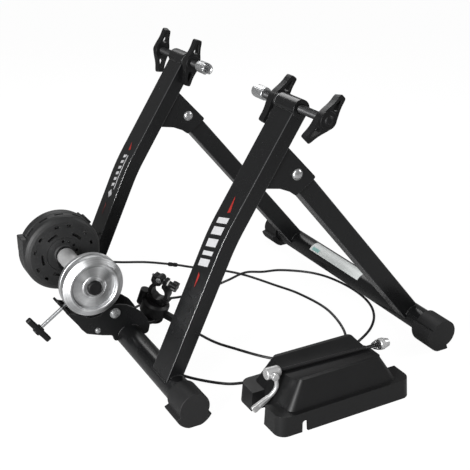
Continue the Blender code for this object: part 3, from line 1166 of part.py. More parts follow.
def riser():
    """The block under the front wheel: a hollow moulding with a groove, two end notches and a side notch."""
    made = block_solid("riser_block", 0.0, 0.0)
    hollow = block_solid("hollow", RISER_WALL, -0.005)

    def end_box(label, way, wall, low):
        face = RISER_X + way * RISER_LENGTH / 2
        near, far = sorted((face + way * 0.001, face - way * (NOTCH_DEPTH + wall)))
        half_width = NOTCH_WIDTH / 2 + wall
        return box(label, (near, RISER_Y - half_width, low), (far, RISER_Y + half_width, FLANGE_HEIGHT + 0.001 + wall))

    ends = [end_box(f"end_{way + 1}", way, 0.0, -0.001) for way in (-1, 1)]
    walls = [end_box(f"walls_{way + 1}", way, RISER_WALL, -0.01) for way in (-1, 1)]
    place(hollow, "hollow", None, guide=True)
    cut(hollow, *walls)
    hollow = meshed(hollow)
    half = SIDE_NOTCH_WIDTH / 2
    arch = [(SIDE_NOTCH_X - half - 0.0004, -0.001), (SIDE_NOTCH_X + half + 0.0004, -0.001)]
    arch += arc(SIDE_NOTCH_X, SIDE_NOTCH_HEIGHT - half, half, 0, 180, 8)
    notch = side_plate("notch", [arch], RISER_Y - RISER_WIDTH / 2 + 0.002, 0.008)
    place(made, "riser_block", BLACK_PLASTIC)
    cut(made, hollow, notch, *ends)


# Skewer
def skewer():
    """The quick-release skewer that lies in the block's groove."""
    centre = Vector((RISER_X, RISER_Y, SKEWER_Z))
    turn = Matrix.Rotation(SKEWER_TURN, 4, "Z")

    def at(x, y=0.0, z=0.0):
        return centre + turn @ Vector((x - RISER_X, y, z))

    left = SKEWER_BARREL_X - SKEWER_BARREL_LENGTH / 2
    right = SKEWER_BARREL_X + SKEWER_BARREL_LENGTH / 2
    nut_left = SKEWER_NUT_X - SKEWER_NUT_LENGTH / 2
    nut_right = SKEWER_NUT_X + SKEWER_NUT_LENGTH / 2
    made = rod("skewer_rod", at(right - 0.006), at(nut_right - 0.002), SKEWER_RADIUS, SMALL_SIDES)
    place(made, "skewer_rod", BRIGHT_STEEL)
    barrel = rod("skewer_barrel", at(left), at(right), SKEWER_BARREL_RADIUS, ROUND_SIDES)
    seat = rod("barrel_seat", at(right - 0.006 - GAP), at(right + 0.002), SKEWER_RADIUS + GAP, SMALL_SIDES)
    cross = rod("cross", at(LEVER_AXIS_X, -0.012), at(LEVER_AXIS_X, 0.004), LEVER_PIVOT + RUN, SMALL_SIDES)
    place(barrel, "skewer_barrel", TURNED_METAL)
    cut(barrel, seat, cross)
    nut = turned("skewer_nut", [
        (SKEWER_RADIUS + RUN, SKEWER_NUT_LENGTH), (0.0040, SKEWER_NUT_LENGTH), (SKEWER_NUT_RADIUS - 0.0035, SKEWER_NUT_LENGTH),
        (SKEWER_NUT_RADIUS - 0.0005, 0.0070), (SKEWER_NUT_RADIUS, 0.0060), (SKEWER_NUT_RADIUS, 0.0010),
        (SKEWER_NUT_RADIUS - 0.001, 0.0), (SKEWER_RADIUS + RUN, 0.0)], ROUND_SIDES, True)
    nut.matrix_world = Matrix.Translation(at(nut_left)) @ turn @ Matrix.Rotation(math.pi / 2, 4, "Y")
    place(nut, "skewer_nut", BRIGHT_STEEL)
    points = []
    for step in range(SPRING_TURNS * 10 + 1):
        share = step / (SPRING_TURNS * 10)
        a = 2 * math.pi * SPRING_TURNS * share
        r = SPRING_SMALL + (SPRING_LARGE - SPRING_SMALL) * share
        points.append(at(nut_left - SPRING_GAP - SPRING_LENGTH * (1 - share), r * math.cos(a), r * math.sin(a)))
    place(tube_through("skewer_spring", points, SPRING_WIRE, 1), "skewer_spring", BRIGHT_STEEL)
    path = [at(*p) for p in LEVER_PATH]
    arm = meshed(tube_through("skewer_lever", smooth_route(path, 0.006), SKEWER_LEVER_RADIUS, 3))
    pivot = rod("pivot", at(LEVER_AXIS_X, 0.0035 - RUN), at(LEVER_AXIS_X, LEVER_PATH[0][1] + 0.001), LEVER_PIVOT, SMALL_SIDES)
    eye = rod("eye", at(LEVER_AXIS_X, LEVER_PATH[0][1] + SKEWER_LEVER_RADIUS),
              at(LEVER_AXIS_X, LEVER_PATH[0][1] - SKEWER_LEVER_RADIUS), LEVER_PIVOT + 0.0012, SMALL_SIDES)
    elbow, tip = path[-2], path[-1]
    line = (tip - elbow).normalized()
    side = turn.to_3x3() @ Vector((0.0, 1.0, 0.0))
    paddle = outline("paddle", [rounded_rectangle(0.0, -PADDLE_WIDTH / 2, PADDLE_LENGTH, PADDLE_WIDTH / 2,
                                                  PADDLE_WIDTH / 2 - 0.0002, 4)], PADDLE_THICKNESS)
    up = side.cross(line)
    paddle.matrix_world = Matrix.Translation(tip - line * PADDLE_LENGTH * 0.75) @ Matrix((
        (line.x, up.x, side.x, 0.0), (line.y, up.y, side.y, 0.0), (line.z, up.z, side.z, 0.0), (0, 0, 0, 1.0)))
    place(arm, "skewer_lever", TURNED_METAL)
    join(arm, pivot, eye, meshed(paddle))


cross_tube("rear_cross_tube", REAR_TUBE)
cross_tube("front_cross_tube", FRONT_TUBE)
foot("near_rear_foot", REAR_TUBE, -1, 200, 330)
foot("far_rear_foot", REAR_TUBE, 1, 215, 345)
foot("near_front_foot", FRONT_TUBE, -1, 155, 292)
foot("far_front_foot", FRONT_TUBE, 1, 195, 325)
for prefix, way, tee_angle, lock_angle in (("near", -1, 44, 52), ("far", 1, 77, 72)):
    upright(f"{prefix}_upright", way)
    sleeve(f"{prefix}_spindle_sleeve", way)
    gusset(f"{prefix}_gusset", way)
    leg(f"{prefix}_leg", way)
    pivot_bolt(f"{prefix}_leg_bolt", way)
    axle_cup(f"{prefix}_axle_cup", way)
    spindle_screw(f"{prefix}_spindle_screw", way)
    tee_handle(f"{prefix}_tee_handle", way, tee_angle)
    lock_wing(f"{prefix}_lock_wing", way, lock_angle)
    lock_washer(f"{prefix}_lock_washer", way)
bracket()
through_bolt("swing_bolt", SWING_X, SWING_Z, BRACKET_HALF, SWING_BOLT_RADIUS, SWING_HEAD_RADIUS, 0.0045)
through_bolt("bracket_bolt", SMALL_BOLT_X, SMALL_BOLT_Z, BRACKET_HALF, SMALL_BOLT_RADIUS, SMALL_HEAD_RADIUS, 0.0030)
swing_arm()
adjuster()
rotor_parts()
housing()
cable()
shifter_body()
shifter_parts()
riser()
skewer()


# Finish
JOINT_AXES = {
    "front_cross_tube": PIVOT, "near_leg": PIVOT, "far_leg": PIVOT, "near_front_foot": PIVOT,
    "far_front_foot": PIVOT, "near_axle_cup": SPINDLE_AXIS, "far_axle_cup": SPINDLE_AXIS,
    "near_tee_handle": SPINDLE_AXIS, "far_tee_handle": SPINDLE_AXIS, "near_lock_wing": SPINDLE_AXIS,
    "far_lock_wing": SPINDLE_AXIS, "adjuster_knob": TAB, "swing_arm": SWING, "housing_front": SWING,
    "housing_back": SWING, "cable_boot": SWING, "roller_shaft": AXLE,
    "shifter_lever": SHIFTER_MATRIX @ Vector((0.0, 0.0, 0.0)), "shifter_dial": SHIFTER_MATRIX @ Vector((0.0, 0.0, 0.0)),
    "clamp_jaw": SHIFTER_MATRIX @ Vector((JAW_PIN_X, 0.0, JAW_PIN_Z)),
    "clamp_screw": SHIFTER_MATRIX @ Vector((NUT_X, 0.0, SCREW_LINE)),
    "clamp_knob": SHIFTER_MATRIX @ Vector((NUT_X, 0.0, SCREW_LINE)),
    "skewer_lever": Vector((RISER_X, RISER_Y, SKEWER_Z)) + Matrix.Rotation(SKEWER_TURN, 3, "Z") @ Vector(
        (LEVER_AXIS_X - RISER_X, 0.0, 0.0))}
CORD_PIECES = ("control_cable", "cable_joiner")


def settle():
    """Keep every piece's finished mesh, shaded smooth where it is round, and drop the cutters."""
    bpy.context.view_layer.update()
    graph = bpy.context.evaluated_depsgraph_get()
    finished = {}
    for thing in PARTS.objects:
        if thing.type == "MESH":
            finished[thing.name] = bpy.data.meshes.new_from_object(thing.evaluated_get(graph))
    for name, data in finished.items():
        thing = PARTS.objects[name]
        own = thing.data.materials[0]
        thing.modifiers.clear()
        thing.data = data
        data.name = name
        data.materials.clear()
        data.materials.append(own)
        for face in data.polygons:
            face.material_index = 0
            face.use_smooth = True
        data.set_sharp_from_angle(angle=math.radians(35))
    for thing in list(GUIDES.objects):
        bpy.data.objects.remove(thing)
    bpy.data.collections.remove(GUIDES)


def put_origins_on_joints():
    """Move the origin of each turning piece on its joint's axis, its shape staying where it is."""
    for name, axis_point in JOINT_AXES.items():
        thing = PARTS.objects[name]
        inside = thing.matrix_world.inverted() @ axis_point
        thing.data.transform(Matrix.Translation(-inside))
        thing.matrix_world = thing.matrix_world @ Matrix.Translation(inside)


def centre_on_floor():
    """Hang every piece on one empty and move the middle of the trainer's footprint to the origin."""
    bpy.context.view_layer.update()
    rigid = [thing for thing in PARTS.objects if thing.type == "MESH" and thing.name not in CORD_PIECES]
    corners = [thing.matrix_world @ vertex.co for thing in rigid for vertex in thing.data.vertices]
    middle = [(min(c[i] for c in corners) + max(c[i] for c in corners)) / 2 for i in (0, 1)]
    pieces = list(PARTS.objects)
    trainer = bpy.data.objects.new("trainer", None)
    PARTS.objects.link(trainer)
    for thing in pieces:
        thing.parent = trainer
    trainer.location = (-middle[0], -middle[1], 0.0)


settle()
put_origins_on_joints()
centre_on_floor()
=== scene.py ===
"""Finished look of the folding bike trainer: fine forms, surfaces, light and camera on the CAD frame.
Metres, +Z up, +X towards the bicycle's front."""

import json
import math
from contextlib import contextmanager

import bmesh
import bpy
from mathutils import Matrix, Vector

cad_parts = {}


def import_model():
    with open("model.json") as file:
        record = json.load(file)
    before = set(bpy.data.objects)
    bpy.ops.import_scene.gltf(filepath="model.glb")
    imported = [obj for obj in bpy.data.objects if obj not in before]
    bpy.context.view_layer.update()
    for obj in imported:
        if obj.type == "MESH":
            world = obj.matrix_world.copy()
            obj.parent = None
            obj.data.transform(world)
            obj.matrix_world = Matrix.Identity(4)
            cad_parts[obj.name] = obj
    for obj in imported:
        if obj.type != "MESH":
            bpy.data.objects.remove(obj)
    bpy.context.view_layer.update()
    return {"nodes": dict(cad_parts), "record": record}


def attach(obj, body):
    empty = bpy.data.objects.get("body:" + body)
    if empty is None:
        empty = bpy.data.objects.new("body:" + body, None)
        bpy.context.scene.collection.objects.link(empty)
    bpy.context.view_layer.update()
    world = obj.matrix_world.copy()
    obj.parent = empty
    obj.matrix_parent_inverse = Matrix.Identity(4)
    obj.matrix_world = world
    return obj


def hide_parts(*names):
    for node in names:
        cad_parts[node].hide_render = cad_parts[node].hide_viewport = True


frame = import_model()
BODY_OF = {node: body for body, nodes in frame["record"]["behaviour"]["bodies"].items() for node in nodes}
SCENE = bpy.context.scene
# Pieces are written with x = 0 at the rear cross tube and y = 0 midway between the uprights.
# The finished trainer stands with the middle of its footprint on the origin.
TO_CENTRE = Matrix.Translation((-0.1392515, 0.032775, 0.0))

# Camera
view = bpy.data.cameras.new("studio_camera")
view.lens = 69.07
view.sensor_width = 36.0
view.clip_start = 0.01
camera = bpy.data.objects.new("studio_camera", view)
camera.location = TO_CENTRE @ Vector((-0.4097, -1.0924, 0.6598))
camera.rotation_euler = (math.radians(90 - 22.85), 0.0, math.radians(-28.57))
SCENE.collection.objects.link(camera)
SCENE.camera = camera
SCENE.view_settings.view_transform = "Standard"

# Sizes shared with the CAD model
GAP = 0.0003
RUN = 0.0004
TUBE_SPACING = 0.397
TUBE_HEIGHT = 0.026
TUBE_RADIUS = 0.0172
TUBE_WALL = 0.0015
FOOT_FACE = 0.2367
FOOT_LENGTH = 0.038
FOOT_RADIUS = 0.0208
FOOT_PAD_RADIUS = 0.0272
FOOT_END_WALL = 0.004
UPRIGHT_Y = 0.159
UPRIGHT_WIDTH = 0.0434
UPRIGHT_DEPTH = 0.0211
LEAN_LOW = math.radians(24.93)
LEAN_HIGH = math.radians(32.71)
BEND_HEIGHT = 0.2187
BEND_LENGTH = 0.045
SPINDLE_X = 0.179
SPINDLE_Z = 0.372
SLEEVE_RADIUS = 0.012
SLEEVE_INNER = 0.1376
SLEEVE_OUTER = 0.1824
SPINDLE_RADIUS = 0.0056
CUP_MOUTH = 0.0715
CUP_BACK = CUP_MOUTH + 0.0255
CUP_FLUTES = 26
CUP_RADIUS = 0.0088
CUP_BORE = 0.0057
CUP_DEPTH = 0.015
CUP_SLOT = 0.0062
CUP_SLOT_DEPTH = 0.009
TEE_INNER = 0.2295
TEE_THICKNESS = 0.011
TEE_HUB_LENGTH = 0.0130
TEE_DOME_RADIUS = 0.0060
TEE_DOME_HEIGHT = 0.0025
TEE_SOCKET = 0.010
TEE_SWEEP = math.radians(12.0)
LOCK_THICKNESS = 0.012
LOCK_HUB_LENGTH = 0.0165
LOCK_WASHER = 0.0022
LOCK_WASHER_RADIUS = 0.0108
WING_HUB_RADIUS = 0.0117
WING_SPAN = 0.070
WING_START = 0.0020
WING_ROOT = 0.0111
WING_TIP = 0.0046
WINDOW_START = 0.0135
WINDOW_END = 0.0285
WINDOW_ROOT = 0.0036
WINDOW_TIP = 0.0011
PIVOT_X = 0.179
PIVOT_Z = 0.286
LEG_Y = 0.160
LEG_WIDTH = 0.0236
LEG_DEPTH = 0.028
LEG_TAIL = 0.015
LEG_HOLLOW = 0.03
GUSSET_WIDTH = 0.0348
GUSSET_WALL = 0.0028
BOLT_RADIUS = 0.004
AXLE_X = -0.064
AXLE_Z = 0.138
AXLE_RADIUS = 0.005
WHEEL_FACE = 0.076
WHEEL_RADIUS = 0.042
HOUSING_RADIUS = 0.0562
HOUSING_FACE = 0.0487
HOUSING_SPLIT = 0.0685
HOUSING_BACK = 0.087
HOUSING_WALL = 0.0024
EAR_WALL = 0.003
NEAR_EAR = -0.048
FAR_EAR = 0.046
ROLLER_START = -0.045
ROLLER_END = 0.042
CABLE_OUT = 0.0551
CABLE_BLOCK_ANGLE = math.radians(38.0)
SWING_X = -0.0202
SWING_Z = 0.0675
BRACKET_HALF = 0.025
BRACKET_WALL = 0.003
ADJUST_ANGLE = math.radians(35.0)
TAB = Vector((-0.0880, 0.0, 0.0808))
SCREW_TO_KNOB = 0.0375
SCREW_TO_ARM = 0.034
KNOB_LENGTH = 0.012
CABLE_RADIUS = 0.002
CABLE_LEAD = 0.020
CABLE_BOOT_LENGTH = 0.012
JOINER_RADIUS = 0.0036
CLAMP_NUT_X = -0.0055
CLAMP_KNOB_X = 0.0101
CABLE_SOCKET_END = 0.0362
RING_HEIGHT = 0.039
RING_BORE = 0.0112
RING_OUTER = 0.0165
RING_WIDTH = 0.015
SCREW_LINE = 0.0592
JAW_PIN = (0.0160, 0.0297)
SHIFTER = (Matrix.Translation((0.067, 0.045, 0.0168)) @ Matrix.Rotation(math.radians(-52.0), 4, "Z")
           @ Matrix.Rotation(math.radians(20.0), 4, "Y"))
RISER_X = 0.180
RISER_Y = -0.2568
RISER_LENGTH = 0.204
RISER_WIDTH = 0.1075
RISER_HEIGHT = 0.0615
RISER_WALL = 0.003
NOTCH_DEPTH = 0.0195
NOTCH_WIDTH = 0.032
FLANGE_HEIGHT = 0.027
SIDE_NOTCH_X = 0.1155
SIDE_NOTCH_HALF = 0.00375
SKEWER_Z = 0.0583
SKEWER_TURN = math.radians(-2.5)
SKEWER_BARREL_X = 0.1008
SKEWER_BARREL_HALF = 0.01025
SKEWER_NUT_X = 0.2695
SKEWER_NUT_LENGTH = 0.015
SKEWER_LEVER_X = 0.0985
REAR_TUBE = Vector((0.0, 0.0, TUBE_HEIGHT))
FRONT_TUBE = Vector((TUBE_SPACING, 0.0, TUBE_HEIGHT))
PIVOT = Vector((PIVOT_X, 0.0, PIVOT_Z))
SPINDLE = Vector((SPINDLE_X, 0.0, SPINDLE_Z))
OVER = Vector((0.0, 1.0, 0.0))


# Outlines
def arc(x, y, radius, start, end, steps):
    """Points on an arc, angles in degrees, both ends included."""
    turns = [math.radians(start + (end - start) * i / steps) for i in range(steps + 1)]
    return [(x + radius * math.cos(a), y + radius * math.sin(a)) for a in turns]


def rounded(points, radius, steps=4, closed=True, keep=()):
    """An outline with its corners rounded, but for the corners in keep."""
    out = []
    count = len(points)
    for i, point in enumerate(points):
        if i in keep or (not closed and i in (0, count - 1)):
            out.append(point)
            continue
        here = Vector(point)
        back = Vector(points[i - 1]) - here
        on = Vector(points[(i + 1) % count]) - here
        half = back.angle(on) / 2
        reach = min(radius / math.tan(half), back.length * 0.48, on.length * 0.48)
        start = here + back.normalized() * reach
        end = here + on.normalized() * reach
        for k in range(steps + 1):
            t = k / steps
            out.append(tuple(start.lerp(here, t).lerp(here.lerp(end, t), t)))
    return out


def smooth_route(points, spacing):
    """A smooth curve through route points, read off at even steps."""
    points = [Vector(p) for p in points]
    padded = [2 * points[0] - points[1]] + points + [2 * points[-1] - points[-2]]
    fine = []
    for i in range(1, len(padded) - 2):
        a, b, c, d = padded[i - 1:i + 3]
        for k in range(24):
            t = k / 24
            fine.append(0.5 * (2 * b + (c - a) * t + (2 * a - 5 * b + 4 * c - d) * t ** 2
                               + (3 * b - a - 3 * c + d) * t ** 3))
    fine.append(points[-1])
    total = sum((q - p).length for p, q in zip(fine, fine[1:]))
    count = max(2, round(total / spacing))
    step = total / count
    out = [fine[0]]
    walked, wanted = 0.0, step
    for p, q in zip(fine, fine[1:]):
        length = (q - p).length
        while length > 0 and walked + length >= wanted - 1e-9 and len(out) < count:
            out.append(p.lerp(q, (wanted - walked) / length))
            wanted += step
        walked += length
    out.append(fine[-1])
    return out


# Solids
SAME_POINT = 0.000002


def outward(x, z, side=1):
    """A frame whose +Z runs along Y away from the middle, its +X along X and its +Y up."""
    return Matrix(((1, 0, 0, x), (0, 0, side, 0), (0, 1, 0, z), (0, 0, 0, 1)))


def pointing(start, way):
    """A frame at a point whose +Z runs the given way."""
    turn = Vector((0, 0, 1)).rotation_difference(Vector(way).normalized())
    return Matrix.Translation(Vector(start)) @ turn.to_matrix().to_4x4()


def framed(point, x, y, z):
    """A frame at a point, from the ways that its three axes run."""
    return Matrix.Translation(point) @ Matrix((x, y, z)).transposed().to_4x4()


@contextmanager
def opened(made):
    """A piece's mesh, open for bmesh operators and written back at the end."""
    bm = bmesh.new()
    bm.from_mesh(made.data)
    yield bm
    bm.to_mesh(made.data)
    bm.free()


def verts_in(out):
    """The vertices among what an operator gives back."""
    return [v for v in out["geom"] if isinstance(v, bmesh.types.BMVert)]


def solid(bm, name, place=None):
    """An object from a finished bmesh, moved into place."""
    if place is not None:
        bmesh.ops.transform(bm, matrix=place, verts=bm.verts)
    bmesh.ops.recalc_face_normals(bm, faces=bm.faces)
    data = bpy.data.meshes.new(name)
    bm.to_mesh(data)
    bm.free()
    made = bpy.data.objects.new(name, data)
    SCENE.collection.objects.link(made)
    return made


def turned(name, profile, place, steps=64, closed=False):
    """A turned solid from a profile of (radius, height) points."""
    bm = bmesh.new()
    verts = [bm.verts.new((r, 0.0, h)) for r, h in profile]
    edges = [bm.edges.new(pair) for pair in zip(verts, verts[1:])]
    if closed:
        edges.append(bm.edges.new((verts[-1], verts[0])))
    bmesh.ops.spin(bm, geom=verts + edges, cent=(0, 0, 0), axis=(0, 0, 1), angle=2 * math.pi, steps=steps,
                   use_merge=True)
    bmesh.ops.remove_doubles(bm, verts=bm.verts, dist=SAME_POINT / 2)
    return solid(bm, name, place)


def collar(name, bore, radius, high, low, edge, corner_steps, place, steps=64):
    """A turned ring with rounded edges, or a disc where there is no bore."""
    corners = [(bore, high), (radius, high), (radius, low), (bore, low)]
    return turned(name, rounded(corners, edge, corner_steps, bore > 0), place, steps, bore > 0)


def prism(name, loop, low, high, place=None):
    """A flat outline extruded between two heights."""
    bm = bmesh.new()
    face = bm.faces.new([bm.verts.new((x, y, low)) for x, y in loop])
    out = bmesh.ops.extrude_face_region(bm, geom=[face])
    bmesh.ops.translate(bm, verts=verts_in(out), vec=(0, 0, high - low))
    return solid(bm, name, place)


def plate(name, loop, y0, y1):
    """An outline in the side view's plane, extruded between two places along Y."""
    return prism(name, loop, y0, y1, outward(0.0, 0.0))


def rod(name, start, end, radius, steps=40, place=None):
    """A round bar between two points."""
    start, end = Vector(start), Vector(end)
    length = (end - start).length
    line = pointing(start, end - start)
    if place is not None:
        line = place @ line
    return turned(name, [(0.0, length), (radius, length), (radius, 0.0), (0.0, 0.0)], line, steps)


def along_y(name, x, z, y0, y1, radius, steps=40, place=None):
    """A round bar that runs along Y."""
    return rod(name, (x, y0, z), (x, y1, z), radius, steps, place)


def block(name, low, high, place=None):
    """A block between two corners."""
    bm = bmesh.new()
    size = Vector(high) - Vector(low)
    centre = (Vector(high) + Vector(low)) / 2
    bmesh.ops.create_cube(bm, size=1.0, matrix=Matrix.Translation(centre) @ Matrix.Diagonal((*size, 1.0)))
    return solid(bm, name, place)


def tapered(name, low_loop, high_loop, low, high):
    """A solid that grows or shrinks from one loop to another of as many points."""
    bm = bmesh.new()
    face = bm.faces.new([bm.verts.new((x, y, low)) for x, y in low_loop])
    out = bmesh.ops.extrude_face_region(bm, geom=[face])
    for vert in verts_in(out):
        index = min(range(len(low_loop)), key=lambda i: (Vector(low_loop[i]) - vert.co.xy).length)
        vert.co = (*high_loop[index], high)
    return solid(bm, name)


def swept(name, path, radii, sides=20, up=(0, 0, 1)):
    """A round bar along a path, with its own radius at each point."""
    path = [Vector(p) for p in path]
    if not isinstance(radii, (list, tuple)):
        radii = [radii] * len(path)
    bm = bmesh.new()
    bmesh.ops.create_circle(bm, cap_ends=True, segments=sides, radius=1.0)
    face = bm.faces[:]
    section = [v.co.copy() for v in bm.verts]
    order = {v: i for i, v in enumerate(bm.verts)}
    across = None
    for i, point in enumerate(path):
        way = (path[min(i + 1, len(path) - 1)] - path[max(i - 1, 0)]).normalized()
        across = Vector(up).cross(way) if across is None else across - way * across.dot(way)
        if across.length < 1e-6:
            across = way.orthogonal()
        across.normalize()
        over = way.cross(across)
        if i:
            last = face
            out = bmesh.ops.extrude_face_region(bm, geom=last)
            face = [f for f in out["geom"] if isinstance(f, bmesh.types.BMFace)]
            if i > 1:
                bmesh.ops.delete(bm, geom=last, context="FACES_ONLY")
            order = {vert: order[min(order, key=lambda v: (v.co - vert.co).length_squared)]
                     for vert in verts_in(out)}
        for vert, k in order.items():
            vert.co = point + (across * section[k].x + over * section[k].y) * radii[i]
    return solid(bm, name)


def worked(made, tools, operation="DIFFERENCE"):
    """Cut other solids out of a piece, or weld them to it; the tools are used up."""
    for tool in tools:
        step = made.modifiers.new(tool.name, "BOOLEAN")
        step.operation = operation
        step.solver = "EXACT"
        step.object = tool
    bpy.context.view_layer.update()
    made.data = bpy.data.meshes.new_from_object(made.evaluated_get(bpy.context.evaluated_depsgraph_get()))
    made.modifiers.clear()
    with opened(made) as bm:
        bmesh.ops.remove_doubles(bm, verts=bm.verts, dist=SAME_POINT)
    for tool in tools:
        bpy.data.objects.remove(tool)
    return made


def bevelled(made, width, segments=3, angle=35.0, choose=None):
    """Round a piece's sharp edges, or those that are chosen, and mark the roundings for worn paint with a
    painted highlight.
    """
    limit = math.radians(angle)
    with opened(made) as bm:
        bmesh.ops.remove_doubles(bm, verts=bm.verts, dist=SAME_POINT)
        bmesh.ops.dissolve_limit(bm, angle_limit=math.radians(0.5), verts=bm.verts, edges=bm.edges)
        # Marked roundings later take a lighter colour: partly worn paint, partly a painted highlight along
        # the edges.
        wear_and_highlight = bm.faces.layers.float.get("wear_and_highlight_edge") or bm.faces.layers.float.new("wear_and_highlight_edge")
        sharp = [e for e in bm.edges if len(e.link_faces) == 2 and e.calc_face_angle(0.0) > limit
                 and (choose is None or choose(e))]
        rim = bmesh.ops.bevel(bm, geom=sharp, offset=width, offset_type="OFFSET", segments=segments,
                              profile=0.5, affect="EDGES", clamp_overlap=True, material=-1)
        for face in rim["faces"]:
            face[wear_and_highlight] = 1.0
        bmesh.ops.remove_doubles(bm, verts=bm.verts, dist=SAME_POINT)
        bmesh.ops.holes_fill(bm, edges=[e for e in bm.edges if len(e.link_faces) == 1], sides=6)
        bmesh.ops.recalc_face_normals(bm, faces=bm.faces)
    return made


def fitted(made, surface, body, stands_for=(), angle=40.0):
    """Give a piece its surface and smooth shading, and let it ride on its body."""
    made.data.materials.clear()
    made.data.materials.append(surface)
    made.data.transform(TO_CENTRE)
    with opened(made) as bm:
        for face in bm.faces:
            face.smooth = True
        for edge in bm.edges:
            edge.smooth = len(edge.link_faces) == 2 and edge.calc_face_angle(0.0) < math.radians(angle)
    even = made.modifiers.new("even_shading", "WEIGHTED_NORMAL")
    even.keep_sharp = True
    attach(made, body)
    if stands_for:
        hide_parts(*stands_for)
    return made


def stands_for(made, surface, *nodes, angle=40.0):
    """A finished piece that takes the place of CAD nodes."""
    return fitted(made, surface, BODY_OF[nodes[0]], nodes, angle)


# Surfaces
WORN_ROUGHNESS = 0.16
# Shares of the colour for the painted highlight and shade fans on turned metal.
PAINTED_FAN_TONES = (0.66, 1.32)
RING_TONES = (0.80, 1.15)


def plugged(node, inputs):
    """Set a node's inputs, each to a value or from another node's output."""
    for socket, value in inputs.items():
        if isinstance(value, bpy.types.NodeSocket):
            node.id_data.links.new(value, node.inputs[socket])
        else:
            node.inputs[socket].default_value = value
    return node.outputs


def wired(tree, kind, inputs, **settings):
    """A new shader node with its settings and inputs."""
    node = tree.nodes.new("ShaderNode" + kind)
    for setting, value in settings.items():
        setattr(node, setting, value)
    return plugged(node, inputs)


def remapped(tree, value, from_low, from_high, to_low, to_high):
    """A value carried over from one range to another."""
    return wired(tree, "MapRange", {"Value": value, "From Min": from_low, "From Max": from_high,
                                    "To Min": to_low, "To Max": to_high})["Result"]


def blended(tree, share, low, high, kind="RGBA"):
    """Two colours, or two numbers, mixed by a share."""
    return wired(tree, "Mix", {"Factor": share, "A": low, "B": high}, data_type=kind)["Result"]


def turned_finish(tree, place, axle, grain, tone):
    """Fine rings round an axle along Y, painted fans of highlight and shade round it, and the way that the
    rings run.
    """
    apart = wired(tree, "VectorMath", {0: place, 1: (axle[0], 0.0, axle[1])}, operation="SUBTRACT")["Vector"]
    level = wired(tree, "VectorMath", {0: apart, 1: (1.0, 0.0, 1.0)}, operation="MULTIPLY")["Vector"]
    distance = wired(tree, "VectorMath", {0: level}, operation="LENGTH")["Value"]
    rings = wired(tree, "TexNoise", {"W": distance, "Scale": 1 / grain}, noise_dimensions="1D")["Fac"]
    spoke = wired(tree, "VectorMath", {0: level}, operation="NORMALIZE")["Vector"]
    # Painted highlight and shade: the colour grows lighter and darker in fans by angle round the axle.
    painted_fans = wired(tree, "TexNoise", {"Vector": spoke, "Scale": 1.5, "Detail": 1.5})["Fac"]
    shade = wired(tree, "Math", {0: remapped(tree, painted_fans, 0.36, 0.64, *PAINTED_FAN_TONES),
                                 1: remapped(tree, rings, 0.3, 0.7, *RING_TONES)},
                  operation="MULTIPLY")["Value"]
    tone = wired(tree, "VectorMath", {0: tone, "Scale": shade}, operation="SCALE")["Vector"]
    way = wired(tree, "VectorMath", {0: level, 1: (0.0, 1.0, 0.0)}, operation="CROSS_PRODUCT")["Vector"]
    return rings, tone, way


def surface(name, slot, colour, roughness, metallic=0.0, patch=0.03, shade=0.08, gloss_shift=0.05,
            grain=0.001, grain_height=0.0, specular=0.5, axle=None, wear_and_highlight=None):
    """A surface whose colour and gloss drift in soft patches, with a fine grain, or with rings and painted
    highlight fans round an axle.
    """
    made = bpy.data.materials.new(name)
    made.use_nodes = True
    tree = made.node_tree
    place = wired(tree, "TexCoord", {})["Object"]
    drift = wired(tree, "TexNoise", {"Vector": place, "Scale": 1 / patch, "Detail": 4})["Fac"]
    dark, light = ((*[c * (1 + way * shade) for c in colour], 1.0) for way in (-1, 1))
    look = {"Metallic": metallic, "Base Color": blended(tree, drift, dark, light),
            "Specular IOR Level": specular,
            "Roughness": remapped(tree, drift, 0.3, 0.7, max(0.02, roughness - gloss_shift),
                                  roughness + gloss_shift)}
    # Marked roundings get a lighter colour that is partly worn paint and partly a painted highlight, with
    # lower roughness and more specular.
    if wear_and_highlight is not None:
        edge = wired(tree, "Attribute", {}, attribute_name="wear_and_highlight_edge")["Fac"]
        look["Base Color"] = blended(tree, edge, look["Base Color"], (*wear_and_highlight, 1.0))
        look["Roughness"] = blended(tree, edge, look["Roughness"], WORN_ROUGHNESS, "FLOAT")
        look["Specular IOR Level"] = remapped(tree, edge, 0.0, 1.0, specular, 1.0)
    if axle is None:
        texture = wired(tree, "TexNoise", {"Vector": place, "Scale": 1 / grain})["Fac"]
    else:
        texture, look["Base Color"], look["Tangent"] = turned_finish(tree, place, axle, grain,
                                                                     look["Base Color"])
        look["Anisotropic"] = 0.75
    if grain_height:
        look["Normal"] = wired(tree, "Bump", {"Distance": grain_height, "Height": texture})["Normal"]
    plugged(tree.nodes["Principled BSDF"], look)
    made.diffuse_color = (*colour, 1.0)
    return made


# Frame and bracket paint: their lighter edge colour is partly worn paint, partly a painted highlight along
# the roundings.
FRAME_PAINT = surface("satin_black_paint", "black_paint", (0.0068, 0.0070, 0.0074), 0.28, patch=0.05,
                      grain=0.0012, grain_height=0.000007, gloss_shift=0.04, specular=0.32,
                      wear_and_highlight=(0.045, 0.045, 0.047))
BRACKET_PAINT = surface("bracket_black_paint", "black_paint", (0.0066, 0.0068, 0.0072), 0.28, patch=0.03,
                        grain=0.0008, grain_height=0.000012, specular=0.32, wear_and_highlight=(0.030, 0.030, 0.032))
FOOT_RUBBER = surface("foot_rubber", "black_rubber", (0.0110, 0.0110, 0.0115), 0.58, patch=0.02, grain=0.0005,
                      grain_height=0.00002, specular=0.35)
HANDLE_PLASTIC = surface("handle_plastic", "black_plastic", (0.0060, 0.0060, 0.0064), 0.42, patch=0.012,
                         grain=0.0006, grain_height=0.000003, specular=0.25)
